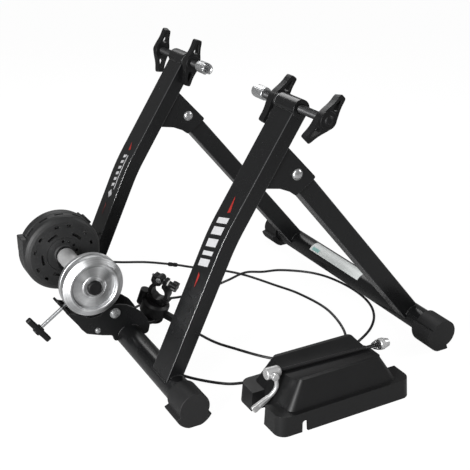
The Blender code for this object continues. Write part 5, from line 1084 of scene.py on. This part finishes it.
def adjuster():
    """The adjuster screw through the tab and its winged knob."""
    tip = SCREW_TO_ARM - 0.0005
    profile = ([(0.0, tip), (0.0012, tip), (0.0024, tip - 0.0022)]
               + thread(0.0028, 0.00045, 0.00125, -SCREW_TO_KNOB + 0.001, tip - 0.0028)
               + [(0.0024, -SCREW_TO_KNOB - 0.0083), (0.0, -SCREW_TO_KNOB - 0.0083)])
    stands_for(turned("adjuster_screw_dressed", profile, pointing(TAB, ALONG), 40), ZINC, "adjuster_screw",
               angle=24)
    inner = TAB - ALONG * SCREW_TO_KNOB
    half, tip = 0.024, 0.0042
    flank = [(0.0115, 0.0043), (0.006, 0.0060), (-0.006, 0.0060), (-0.0115, 0.0043)]
    loop = (arc(half - tip, 0, tip, -88, 88, 12) + flank + arc(tip - half, 0, tip, 92, 268, 12)
            + [(-x, -y) for x, y in flank])
    made = prism("adjuster_knob_dressed", loop, -0.0041, 0.0041,
                 framed(inner - ALONG * KNOB_LENGTH * 0.5, UP, OVER, ALONG))
    bevelled(made, 0.0020, 5, 50.0)
    hub = collar("hub", 0.0, 0.0058, KNOB_LENGTH, 0.0, 0.0012, 4,
                 pointing(inner - ALONG * KNOB_LENGTH, ALONG), 48)
    worked(made, [hub], "UNION")
    worked(made, [rod("hole", inner - ALONG * (KNOB_LENGTH * 0.7 + GAP), inner + ALONG * 0.004, SCREW_BORE)])
    bevelled(made, 0.0003, 2, 45.0)
    stands_for(made, HANDLE_PLASTIC, "adjuster_knob")


# Resistance unit
def flywheel_set():
    """Roller, flywheel with turned steps, and the cap in its middle."""
    bore = AXLE_RADIUS + GAP
    roller = collar("roller_dressed", bore, 0.0125, ROLLER_END, ROLLER_START, 0.0010, 4,
                    outward(AXLE_X, AXLE_Z), 96)
    stands_for(roller, ROLLER_METAL, "roller")
    place = outward(AXLE_X, AXLE_Z, -1) @ Matrix.Translation((0, 0, WHEEL_FACE))
    rim, back = WHEEL_RADIUS, -0.025
    profile = [(bore, -0.0035), (0.0118, -0.0035), (0.0124, -0.0028), (0.0145, -0.0026), (0.0156, -0.0030),
               (0.0162, -0.0037), (0.0270, -0.0060), (0.0288, -0.0060), (0.0294, -0.0050), (0.0302, -0.0012),
               (0.0310, -0.0004), (0.0325, 0.0), (0.0338, -0.0003), (0.0346, -0.0010), (0.0352, -0.0016),
               (rim - 0.0014, -0.0064), (rim - 0.0004, -0.0070), (rim, -0.0078), (rim, -0.0138),
               (rim - 0.0006, -0.0144), (rim - 0.0033, -0.0150), (rim - 0.0035, -0.0156),
               (rim - 0.0035, -0.0170), (rim - 0.0031, -0.0176), (rim - 0.0006, -0.0182), (rim, -0.0188),
               (rim, back + 0.001), (rim - 0.0003, back + 0.0003), (rim - 0.001, back), (bore, back)]
    stands_for(turned("flywheel_dressed", profile, place, 160, True), TURNED, "flywheel", angle=30)
    cap = [(0.0, 0.0009), (0.0050, 0.0010), (0.0074, 0.0012), (0.0084, 0.0010), (0.0092, 0.0004),
           (0.0098, -0.0004), (0.0098, -0.0032), (0.0, -0.0032)]
    stands_for(turned("flywheel_cap_dressed", cap, place), HANDLE_PLASTIC, "flywheel_cap")


def round_slot(name, radius, middle, span, width, y0, y1):
    """A curved slot cutter on the housing's face, angles in degrees round the axle."""
    steps = max(4, round(span / 2))
    outer = arc(0, 0, radius + width / 2, middle - span / 2, middle + span / 2, steps)
    inner = arc(0, 0, radius - width / 2, middle + span / 2, middle - span / 2, steps)
    between_corners = set(range(2 * steps + 2)) - {0, steps, steps + 1, 2 * steps + 1}
    loop = rounded(outer + inner, width * 0.3, 3, keep=between_corners)
    return plate(name, [(AXLE_X + x, AXLE_Z + z) for x, z in loop], y0, y1)


def lug_block(name, y0, y1):
    """The lug at the housing's rear edge."""
    return bevelled(block(name, (AXLE_X - 0.0568, y0, AXLE_Z + 0.006),
                          (AXLE_X - 0.0488, y1, AXLE_Z + 0.0300)), 0.0012)


def housing():
    """The magnet housing's two covers, the front one slotted for cooling."""
    place = outward(AXLE_X, AXLE_Z)
    outer, face, split = HOUSING_RADIUS, HOUSING_FACE, HOUSING_SPLIT
    inner = outer - HOUSING_WALL
    seat = FAR_EAR + EAR_WALL / 2 + GAP
    rim = rounded([(inner, split), (outer, split), (outer, face + 0.0085), (outer - 0.0014, face + 0.0048),
                   (outer - 0.0042, face + 0.0020), (outer - 0.0080, face + 0.0005), (outer - 0.0130, face),
                   (0.0252, face), (0.0246, face + 0.0007), (0.0238, face + 0.0008), (0.0142, face + 0.0008),
                   (0.0122, face - 0.0002), (0.0122, seat), (0.0098, seat), (0.0098, seat + 0.002),
                   (0.0075, seat + 0.002), (0.0075, face + 0.0035), (inner - 0.008, face + 0.0035),
                   (inner - 0.001, face + 0.0080)], 0.0012, 4)
    front = turned("housing_front_dressed", rim, place, 128, True)
    worked(front, [lug_block("lug", face + 0.0073, split)], "UNION")
    y0, y1 = face - 0.002, face + 0.007
    tools = []
    for angle in (14, 39, 76, 100, 139, 165, 203, 229):
        tools.append(round_slot(f"outer_slot_{angle}", 0.0425, angle, 8.5, 0.0037, y0, y1))
    for angle in (49, 118, 186, 250):
        tools.append(round_slot(f"middle_slot_{angle}", 0.0315, angle, 28, 0.0036, y0, y1))
    for angle in (8, 35, 62, 89):
        a = math.radians(angle)
        x, z = AXLE_X + 0.019 * math.cos(a), AXLE_Z + 0.019 * math.sin(a)
        tools.append(along_y(f"hole_{angle}", x, z, y0, y1, 0.0022, 24))
    for angle in (62, 89, 113, 138):
        tools.append(round_slot(f"rim_slot_{angle}", HOUSING_RADIUS, angle, 13, 0.012, 0.0600, 0.0650))
    worked(front, tools)
    bevelled(front, 0.0002, 2, 50.0)
    stands_for(front, HOUSING_PLASTIC, "housing_front", angle=35)
    back_face, back_inside = HOUSING_BACK, HOUSING_BACK - HOUSING_WALL
    back_profile = rounded([
        (0.0, back_face), (outer - 0.006, back_face), (outer, back_face - 0.005), (outer, split + GAP),
        (inner, split + GAP), (inner, back_inside - 0.003), (0.0125, back_inside), (0.0125, 0.0765),
        (0.0075, 0.0765), (0.0075, back_inside), (0.0, back_inside)], 0.0010, 4, False)
    back = turned("housing_back_dressed", back_profile, place, 128)
    at_cable = Matrix.Translation((AXLE_X, 0.0, AXLE_Z)) @ Matrix.Rotation(-CABLE_BLOCK_ANGLE, 4, "Y")
    cable_block = block("cable_block", (CABLE_OUT - 0.0045, split + GAP, -0.0055),
                        (CABLE_OUT + 0.0045, back_face, 0.0055), at_cable)
    bevelled(cable_block, 0.0012)
    worked(back, [cable_block, lug_block("back_lug", split + GAP, back_face - 0.006)], "UNION")
    stands_for(back, HOUSING_PLASTIC, "housing_back", angle=35)


bracket()
through_bolt("swing_bolt_dressed", "swing_bolt", SWING_X, SWING_Z, 0.004, 0.0077, 0.0045, 0.0012)
through_bolt("bracket_bolt_dressed", "bracket_bolt", *SMALL_BOLT, 0.0022, 0.0042, 0.0030, 0.0007)
swing_arm()
adjuster()
flywheel_set()
housing()


# Shifter, in its own frame: +Z from the dial to the clamp, +Y along the handlebar
def across(name, loop, half):
    """An outline in the shifter's side plane, extruded evenly along its Y."""
    return prism(name, loop, -half, half, SHIFTER @ outward(0.0, 0.0))


def crosswise(name, x, z, half, radius, steps=40):
    """A round bar along the handlebar."""
    return along_y(name, x, z, -half, half, radius, steps, SHIFTER)


def on_screw_line(name, start, end, radius, steps=32):
    """A round bar on the clamp screw's line."""
    return rod(name, (start, 0, SCREW_LINE), (end, 0, SCREW_LINE), radius, steps, SHIFTER)


def ring_part(name, first, last, steps):
    """A part of the clamp's ring, its bore still a little narrow."""
    return across(name, arc(0, RING_HEIGHT, RING_OUTER, first, last, steps)
                  + arc(0, RING_HEIGHT, RING_BORE - 0.0006, last, first, steps), RING_WIDTH / 2)


def shifter_body():
    """The drum, its neck, the fixed part of the clamp's ring, and its ear with the nut's barrel."""
    drum = turned("shifter_body_dressed", rounded([
        (0.0, 0.0205), (0.0172, 0.0205), (0.0215, 0.0170), (0.0215, 0.0), (0.0060, 0.0), (0.0060, -0.0070),
        (0.0, -0.0070)], 0.0010, 4, False), SHIFTER, 72)
    neck = block("neck", (-0.0150, -0.0090, 0.0190), (0.0135, 0.0090, 0.0300), SHIFTER)
    half = RING_WIDTH / 2
    band = ring_part("band", 102, 322, 48)
    ear = across("ear", [(-0.0004, 0.0518), (-0.0004, 0.0622), (-0.0170, 0.0622), (-0.0170, 0.0535),
                         (-0.0120, 0.0480)], half)
    barrel = crosswise("barrel", CLAMP_NUT_X, SCREW_LINE, 0.0079, 0.0056)
    side = collar("side", 0.0, 0.0078, 0.0290, 0.0030, 0.0012, 4,
                  SHIFTER @ Matrix.Translation((-0.0225, 0, 0)), 48)
    arm = block("arm", (-0.0220, -0.0060, 0.0040), (-0.0120, 0.0060, 0.0262), SHIFTER)
    boss = block("boss", (0.0140, -0.0046, 0.0012), (CABLE_SOCKET_END, 0.0046, 0.0098), SHIFTER)
    joint = crosswise("joint", *JAW_PIN, half, 0.0032)
    inside = half - 0.0001
    foot_block = block("foot_block", (0.0090, -inside, 0.0268), (JAW_PIN[0], inside, 0.0322), SHIFTER)
    for part in (neck, band, ear, barrel, side, arm, boss, joint, foot_block):
        worked(drum, [part], "UNION")
    for way in (crosswise("bore", 0, RING_HEIGHT, 0.02, RING_BORE, 72),
                crosswise("relief", *JAW_PIN, 0.0044, 0.0038),
                crosswise("pin_way", *JAW_PIN, 0.02, 0.0017, 24),
                crosswise("nut_seat", CLAMP_NUT_X, SCREW_LINE, 0.02, 0.0043),
                on_screw_line("screw_way", -0.03, 0.01, 0.0025)):
        worked(drum, [way])
    bevelled(drum, 0.0005, 2, 40.0)
    stands_for(drum, SHIFTER_PLASTIC, "shifter_body")


def shifter_lever():
    """The dial, and the wide thumb lever that turns with it."""
    dial = collar("shifter_dial_dressed", 0.0, 0.0185, -0.0073, -0.0108, 0.0012, 4, SHIFTER)
    stands_for(dial, SHIFTER_PLASTIC, "shifter_dial")
    outer = arc(-0.0388, 0.0, 0.0553, -39.2, 39.2, 36)
    inner = [(-0.0035, 0.0345), (-0.0115, 0.0180), (-0.0135, 0.0080), (-0.0135, -0.0080), (-0.0115, -0.0180),
             (-0.0035, -0.0345)]
    loop = outer + rounded(inner, 0.006, 4, closed=False)
    lever = prism("shifter_lever_dressed", loop, -0.0070, -0.0005, SHIFTER)
    bevelled(lever, 0.0018, 4, 50.0)
    worked(lever, [rod("hole", (0, 0, -0.02), (0, 0, 0.02), 0.0064, 56, SHIFTER)])
    stands_for(lever, SHIFTER_PLASTIC, "shifter_lever")


def clamp_jaw():
    """The hinged part of the clamp's ring, with its tab, knuckle and pin."""
    jaw = ring_part("clamp_jaw_dressed", -24, 76, 32)
    half = RING_WIDTH / 2
    tab = across("tab", [(0.0020, 0.0512), (0.0075, 0.0500), (0.0070, 0.0634), (0.0020, 0.0634)],
                 half - 0.001)
    knuckle = crosswise("knuckle", *JAW_PIN, 0.0040, 0.0032)
    link = across("link", [(0.0130, 0.0338), (0.0142, 0.0312), (0.0185, 0.0305), (0.0162, 0.0360)], 0.0037)
    pin = crosswise("pin", *JAW_PIN, half - GAP, 0.0013, 24)
    worked(jaw, [along_y("near_room", *JAW_PIN, -0.02, -0.0042, 0.0038, place=SHIFTER),
                 along_y("far_room", *JAW_PIN, 0.0042, 0.02, 0.0038, place=SHIFTER)])
    for part in (tab, link, knuckle, pin):
        worked(jaw, [part], "UNION")
    worked(jaw, [crosswise("jaw_bore", 0, RING_HEIGHT, 0.02, RING_BORE, 72),
                 on_screw_line("way", -0.01, 0.02, 0.0030)])
    bevelled(jaw, 0.0004, 2, 40.0)
    stands_for(jaw, SHIFTER_PLASTIC, "clamp_jaw")


def clamp_parts():
    """The clamp's barrel nut, screw, washer and lobed knob."""
    nut = collar("clamp_nut_dressed", 0.0, 0.0040, 0.0082, -0.0082, 0.0006, 3,
                 SHIFTER @ outward(CLAMP_NUT_X, SCREW_LINE), 40)
    worked(nut, [on_screw_line("cross", -0.02, 0.02, 0.0025)])
    stands_for(nut, ZINC, "clamp_nut")
    start = CLAMP_KNOB_X
    line = SHIFTER @ pointing((0.0, 0.0, SCREW_LINE), (1.0, 0.0, 0.0))
    profile = ([(0.0, start + 0.009), (0.0017, start + 0.009)]
               + thread(0.0021, 0.0004, 0.0010, -0.0194, start + 0.0085)
               + [(0.0017, -0.0200), (0.0, -0.0200)])
    stands_for(turned("clamp_screw_dressed", profile, line, 32), ZINC, "clamp_screw", angle=24)
    washer = collar("clamp_washer_dressed", 0.0025, 0.0046, 0.0098, 0.0078, 0.0004, 3, line, 40)
    stands_for(washer, NYLON, "clamp_washer")
    lobes = []
    for step in range(120):
        a = 2 * math.pi * step / 120
        r = 0.0078 + 0.0009 * math.cos(6 * a)
        lobes.append((r * math.cos(a), r * math.sin(a)))
    knob = prism("clamp_knob_dressed", lobes, start + 0.00525, start + 0.01375, line)
    bevelled(knob, 0.0012, 4, 50.0)
    worked(knob, [on_screw_line("neck", start, start + 0.0070, 0.0042, 40)], "UNION")
    worked(knob, [on_screw_line("socket", start - 0.002, start + 0.0093, 0.0024)])
    stands_for(knob, SHIFTER_PLASTIC, "clamp_knob")


# Riser block
def rounded_box(length, width, corner, inset):
    """Points round a rectangle with round corners about the block's middle."""
    x0, x1 = RISER_X - length / 2 + inset, RISER_X + length / 2 - inset
    y0, y1 = RISER_Y - width / 2 + inset, RISER_Y + width / 2 - inset
    r = max(0.002, corner - inset)
    corners = ((x1 - r, y0 + r, -90), (x1 - r, y1 - r, 0), (x0 + r, y1 - r, 90), (x0 + r, y0 + r, 180))
    return [point for x, y, start in corners for point in arc(x, y, r, start, start + 90, 8)]


def block_form(name, inset, low):
    """The block's outer form, or the hollow inside it, moved in by a wall's thickness."""
    made = tapered(name, rounded_box(RISER_LENGTH, RISER_WIDTH, 0.014, inset),
                   rounded_box(RISER_LENGTH - 0.003, RISER_WIDTH - 0.003, 0.014, inset), low,
                   FLANGE_HEIGHT - inset)
    body = tapered("body", rounded_box(0.166, 0.0915, 0.010, inset), rounded_box(0.122, 0.070, 0.006, inset),
                   FLANGE_HEIGHT - inset - 0.0005, RISER_HEIGHT + 0.0005)
    depth, width = 0.006, 0.060
    radius = (width ** 2 / 4 + depth ** 2) / (2 * depth)
    centre = RISER_HEIGHT - depth + radius
    x0, x1 = RISER_X - 0.2, RISER_X + 0.2
    groove = rod("groove", (x0, RISER_Y, centre), (x1, RISER_Y, centre), radius + inset, 240)
    top = block("top", (x0, RISER_Y - 0.1, RISER_HEIGHT - inset), (x1, RISER_Y + 0.1, RISER_HEIGHT + 0.02))
    worked(made, [body], "UNION")
    return worked(made, [groove, top])


def end_box(label, way, wall, low):
    """The form of a notch in one end of the block, with a wall round it."""
    face = RISER_X + way * RISER_LENGTH / 2
    near, far = sorted((face + way * 0.001, face - way * (NOTCH_DEPTH + wall)))
    wide = NOTCH_WIDTH / 2 + wall
    return block(label, (near, RISER_Y - wide, low), (far, RISER_Y + wide, FLANGE_HEIGHT + 0.001 + wall))


def riser():
    """The block under the front wheel: a hollow moulding with a groove, end notches and a side notch."""
    made = block_form("riser_block_dressed", 0.0, 0.0)
    bevelled(made, 0.0016, 4, 20.0)
    hollow = block_form("hollow", RISER_WALL, -0.005)
    worked(hollow, [end_box(f"walls_{way + 1}", way, RISER_WALL, -0.01) for way in (-1, 1)])
    tools = [hollow] + [end_box(f"end_{way + 1}", way, 0.0, -0.001) for way in (-1, 1)]
    half, x = SIDE_NOTCH_HALF, SIDE_NOTCH_X
    notch = ([(x - half - 0.0004, -0.001), (x + half + 0.0004, -0.001)]
             + arc(x, 0.0155 - half, half, 0, 180, 20))
    side = RISER_Y - RISER_WIDTH / 2
    tools.append(plate("notch", notch, side - 0.002, side + 0.006))
    worked(made, tools)
    bevelled(made, 0.0005, 2, 50.0)
    stands_for(made, RISER_PLASTIC, "riser_block")


# Skewer
SKEWER_WAY = Matrix.Rotation(SKEWER_TURN, 4, "Z")
BARREL_LEFT = SKEWER_BARREL_X - SKEWER_BARREL_HALF
BARREL_RIGHT = SKEWER_BARREL_X + SKEWER_BARREL_HALF
NUT_LEFT = SKEWER_NUT_X - SKEWER_NUT_LENGTH / 2
NUT_RIGHT = SKEWER_NUT_X + SKEWER_NUT_LENGTH / 2
SPRING_TURNS = 4
LEVER_PATH = ((SKEWER_LEVER_X, -0.0115, 0.0), (0.1005, -0.0120, -0.0080), (0.1000, -0.0120, -0.0150),
              (0.0955, -0.0115, -0.0225), (0.0870, -0.0110, -0.0290), (0.0735, -0.0110, -0.0370))


def from_middle(x):
    """A place on the skewer's line, counted from the block's middle."""
    return x - RISER_X


def beside_skewer(x, y=0.0, z=0.0):
    """A point on the skewer's line or beside it."""
    return Vector((RISER_X, RISER_Y, SKEWER_Z)) + SKEWER_WAY @ Vector((from_middle(x), y, z))


def on_skewer(x):
    """A frame on the skewer's line, its +Z along it."""
    return Matrix.Translation(beside_skewer(x)) @ SKEWER_WAY @ Matrix.Rotation(math.pi / 2, 4, "Y")


def skewer_rod():
    """The rod, threaded where the nut sits."""
    end, start = from_middle(NUT_RIGHT - 0.002), from_middle(BARREL_RIGHT - 0.006)
    profile = ([(0.0, end), (0.0020, end)]
               + thread(0.0025, 0.0004, 0.0008, from_middle(0.2400), from_middle(NUT_RIGHT - 0.0024))
               + [(0.0025, from_middle(0.2395)), (0.0025, start), (0.0, start)])
    made = turned("skewer_rod_dressed", profile, on_skewer(RISER_X), 32)
    stands_for(made, DARK_STEEL, "skewer_rod", angle=24)


def skewer_barrel():
    """The barrel that the lever turns in."""
    left, right = from_middle(BARREL_LEFT), from_middle(BARREL_RIGHT)
    profile = rounded([(0.0, right), (0.0060, right), (0.0078, from_middle(BARREL_RIGHT - 0.0030)),
                       (0.0078, from_middle(BARREL_LEFT + 0.0012)), (0.0070, left), (0.0, left)], 0.0008, 4,
                      False)
    made = turned("skewer_barrel_dressed", profile, on_skewer(RISER_X), 56)
    worked(made, [rod("seat", beside_skewer(BARREL_RIGHT - 0.0063), beside_skewer(BARREL_RIGHT + 0.002),
                      0.0028, 32),
                  rod("cross", beside_skewer(SKEWER_LEVER_X, -0.012), beside_skewer(SKEWER_LEVER_X, 0.004),
                      0.0040)])
    bevelled(made, 0.0003, 2, 45.0)
    stands_for(made, CAST, "skewer_barrel")


def skewer_nut():
    """The nut: a fluted rim, a cone and a smooth face."""
    place, length = on_skewer(NUT_LEFT), SKEWER_NUT_LENGTH
    made = prism("skewer_nut_dressed", fluted(0.0080, 0.0005, 16), 0.0008, 0.0066, place)
    bevelled(made, 0.0004, 2, 60.0)
    cone = turned("cone", rounded([
        (0.0, length), (0.0040, length), (0.0052, length - 0.0006), (0.0074, 0.0068), (0.0074, 0.0062),
        (0.0, 0.0062)], 0.0006, 3, False), place, 56)
    face = turned("face", [(0.0, 0.0012), (0.0073, 0.0012), (0.0073, 0.0004), (0.0069, 0.0), (0.0, 0.0)],
                  place, 56)
    worked(made, [cone, face], "UNION")
    worked(made, [rod("thread_way", beside_skewer(NUT_LEFT - 0.002), beside_skewer(NUT_RIGHT + 0.002), 0.0029,
                      32)])
    stands_for(made, CAST, "skewer_nut", angle=35)


def skewer_spring():
    """The conical spring beside the nut."""
    points = []
    steps = SPRING_TURNS * 36
    for step in range(steps + 1):
        share = step / steps
        a = 2 * math.pi * SPRING_TURNS * share
        r = 0.0038 + 0.0034 * share
        points.append(beside_skewer(NUT_LEFT - 0.0010 - 0.009 * (1 - share), r * math.cos(a),
                                    r * math.sin(a)))
    stands_for(swept("skewer_spring_dressed", points, 0.0005, 10), DARK_STEEL, "skewer_spring")


def skewer_lever():
    """The bent lever with its pivot, eye and flat paddle."""
    path = [beside_skewer(*point) for point in LEVER_PATH]
    run = smooth_route(path, 0.0012)
    radii = []
    for i in range(len(run)):
        share = i / (len(run) - 1)
        radii.append(0.0030 * (0.92 + 0.14 * share) * min(1.0, 0.35 + 9 * (1 - share)))
    made = swept("skewer_lever_dressed", run, radii, 24, up=(0, 1, 0))
    pivot = rod("pivot", beside_skewer(SKEWER_LEVER_X, 0.0031), beside_skewer(SKEWER_LEVER_X, -0.0105),
                0.0036)
    eye = collar("eye", 0.0, 0.0048, 0.0030, -0.0030, 0.0008, 3,
                 pointing(path[0], SKEWER_WAY @ Vector((0, -1, 0))), 48)
    elbow, tip = path[-2], path[-1]
    way = (tip - elbow).normalized()
    broad = SKEWER_WAY.to_3x3() @ OVER
    loop = rounded([(0.0, -0.0032), (0.014, -0.0046), (0.028, -0.0054), (0.028, 0.0054), (0.014, 0.0046),
                    (0.0, 0.0032)], 0.0030, 6)
    paddle = bevelled(prism("paddle", loop, -0.0023, 0.0023), 0.0014, 4, 50.0)
    paddle.data.transform(framed(tip - way * 0.021, way, broad.cross(way), broad))
    worked(made, [pivot, eye, paddle], "UNION")
    stands_for(made, CAST, "skewer_lever", angle=50)


shifter_body()
shifter_lever()
clamp_jaw()
clamp_parts()
riser()
skewer_rod()
skewer_barrel()
skewer_nut()
skewer_spring()
skewer_lever()


# Prints and label
PRINT_LIFT = 0.00012
PRINT_THICKNESS = 0.0001


def on_upright(name, side, loop, print_colour):
    """A thin print on an upright's rear face: distances along it from its foot, and across it."""
    made = prism(name, loop, PRINT_LIFT, PRINT_LIFT + PRINT_THICKNESS)
    length = (BEND - UPRIGHT_START).length
    with opened(made) as bm:
        long = [e for e in bm.edges if e.calc_length() > 0.006]
        bmesh.ops.subdivide_edges(bm, edges=long, cuts=3, use_grid_fill=True)
        for vert in bm.verts:
            along, sideways, lift = vert.co
            share = min(1.0, max(0.0, (along - length + BEND_LENGTH / 2) / BEND_LENGTH))
            if share in (0.0, 1.0):
                way, normal = (LOW, NORMAL_LOW) if share == 0.0 else (HIGH, NORMAL_HIGH)
                point = BEND + way * (along - length)
            else:
                point, normal = on_bend(share)
            vert.co = point + normal * lift + Vector((0.0, side * UPRIGHT_Y + sideways, 0.0))
        bmesh.ops.recalc_face_normals(bm, faces=bm.faces)
    fitted(made, print_colour, "frame")


def dash(name, side, wide, tip, across_wide, across_tip, half, print_colour=RED_PRINT):
    """A red dash that tapers from a wide end to its tip."""
    slant = 0.003 if tip > wide else -0.003
    loop = [(wide, across_wide + half), (wide + slant, across_wide - half), (tip, across_tip - 0.0005),
            (tip, across_tip + 0.0005)]
    on_upright(name, side, loop, print_colour)


def prints():
    """Plain slanted bars in silver between two red dashes on each upright."""
    for index, (start, long) in enumerate(((0.157, 0.0100), (0.172, 0.0060), (0.184, 0.0110), (0.201, 0.0110),
                                           (0.217, 0.0080))):
        low, high = -0.0105, 0.0115
        loop = [(start + 0.006, low), (start + long + 0.006, low), (start + long, high), (start, high)]
        on_upright(f"near_bar_{index}", -1, loop, SILVER_PRINT)
    dash("near_low_dash", -1, 0.1506, 0.1310, 0.0010, 0.0005, 0.0024)
    dash("near_high_dash", -1, 0.2350, 0.2575, -0.0030, 0.0010, 0.0028)
    for index in range(6):
        start = 0.167 + index * 0.0096
        loop = [(start + 0.003, -0.0030), (start + 0.0075, -0.0030), (start + 0.0048, 0.0050),
                (start, 0.0050)]
        on_upright(f"far_bar_{index}", 1, loop, SILVER_PRINT)
    on_upright("far_underline", 1, [(0.165, -0.0064), (0.2225, -0.0064), (0.2225, -0.0084), (0.165, -0.0084)],
               SILVER_PRINT)
    lozenge = [(0.149, 0.0), (0.156, 0.0065), (0.163, 0.0), (0.156, -0.0065)]
    on_upright("far_lozenge", 1, lozenge, SILVER_PRINT)
    dash("far_low_dash", 1, 0.1400, 0.1200, 0.0010, 0.0005, 0.0024, DARKER_RED)
    dash("far_high_dash", 1, 0.2290, 0.2420, -0.0030, 0.0015, 0.0026)


def blank_label():
    """A blank white label with a pale green patch, wrapped round the front cross tube."""
    x, z = FRONT_TUBE.x, FRONT_TUBE.z

    def wrapped(name, first, last, start, end, low, high, print_colour):
        loop = arc(x, z, TUBE_RADIUS + high, first, last, 16) + arc(x, z, TUBE_RADIUS + low, last, first, 16)
        fitted(plate(name, loop, start, end), print_colour, "front_frame")

    wrapped("label_sheet", 82, 150, -0.046, 0.0935, 0.00005, 0.00015, LABEL)
    wrapped("label_patch", 122, 143, 0.0690, 0.0885, 0.00016, 0.00020, LABEL_PATCH)


prints()
blank_label()

for node, finish in (("roller_shaft", GREY_STEEL), ("near_bearing", GREY_STEEL), ("far_bearing", GREY_STEEL),
                     ("rotor_disc", CAST), ("magnet_carrier", HOUSING_PLASTIC)):
    data = frame["nodes"][node].data
    data.materials.clear()
    data.materials.append(finish)
    for polygon in data.polygons:
        polygon.use_smooth = True


# Floor, world and lights
FLOOR_TONE = (0.60, 0.60, 0.60, 1.0)
FLOOR_GLOW = 1.12
FLOOR_GLOW_SHARE = 0.86
WHITE = (1.0, 1.0, 1.0, 1.0)
WORLD_SOFT = 0.16
WORLD_IN_MIRRORS = 0.10


def floor():
    """A plain pale floor that keeps a faint shadow."""
    bm = bmesh.new()
    bmesh.ops.create_grid(bm, x_segments=1, y_segments=1, size=4.0)
    made = solid(bm, "studio_floor")
    pale = bpy.data.materials.new("pale_floor")
    pale.use_nodes = True
    tree = pale.node_tree
    matt = plugged(tree.nodes["Principled BSDF"], {"Base Color": FLOOR_TONE, "Roughness": 0.8})["BSDF"]
    glow = wired(tree, "Emission", {"Strength": FLOOR_GLOW})["Emission"]
    seen = wired(tree, "LightPath", {})["Is Camera Ray"]
    share = wired(tree, "Math", {0: seen, 1: FLOOR_GLOW_SHARE}, operation="MULTIPLY")["Value"]
    both = wired(tree, "MixShader", {"Fac": share, 1: matt, 2: glow})["Shader"]
    plugged(tree.nodes["Material Output"], {"Surface": both})
    made.data.materials.append(pale)


def world():
    """White to the camera, a little brighter in mirrors, softer for everything else."""
    made = bpy.data.worlds.new("studio_world")
    made.use_nodes = True
    tree = made.node_tree
    soft = plugged(tree.nodes["Background"], {"Color": WHITE, "Strength": WORLD_SOFT})["Background"]
    white = wired(tree, "Background", {"Color": WHITE, "Strength": 1.0})["Background"]
    ray = wired(tree, "LightPath", {})
    share = wired(tree, "Math", {0: ray["Is Glossy Ray"], 1: WORLD_IN_MIRRORS, 2: ray["Is Camera Ray"]},
                  operation="MULTIPLY_ADD")["Value"]
    both = wired(tree, "MixShader", {"Fac": share, 1: soft, 2: white})["Shader"]
    plugged(tree.nodes["World Output"], {"Surface": both})
    SCENE.world = made


def lamp(name, where, at, width, height, power):
    """A soft box that looks at a point."""
    data = bpy.data.lights.new(name, "AREA")
    data.shape = "RECTANGLE"
    data.size = width
    data.size_y = height
    data.energy = power
    made = bpy.data.objects.new(name, data)
    made.location = TO_CENTRE @ Vector(where)
    made.rotation_euler = (Vector(at) - Vector(where)).to_track_quat("-Z", "Y").to_euler()
    SCENE.collection.objects.link(made)


floor()
world()
lamp("edge_light", (-1.17, -0.87, 0.50), (0.10, 0.0, 0.2), 0.45, 0.6, 30.0)
lamp("key_light", (-0.7, -1.2, 1.7), (0.1, 0.0, 0.15), 0.7, 0.7, 8.0)
lamp("back_light", (0.5, 1.3, 1.3), (0.1, 0.0, 0.15), 1.0, 0.5, 7.0)
lamp("side_light", (1.5, -0.6, 0.9), (0.15, 0.0, 0.15), 0.6, 0.6, 7.0)
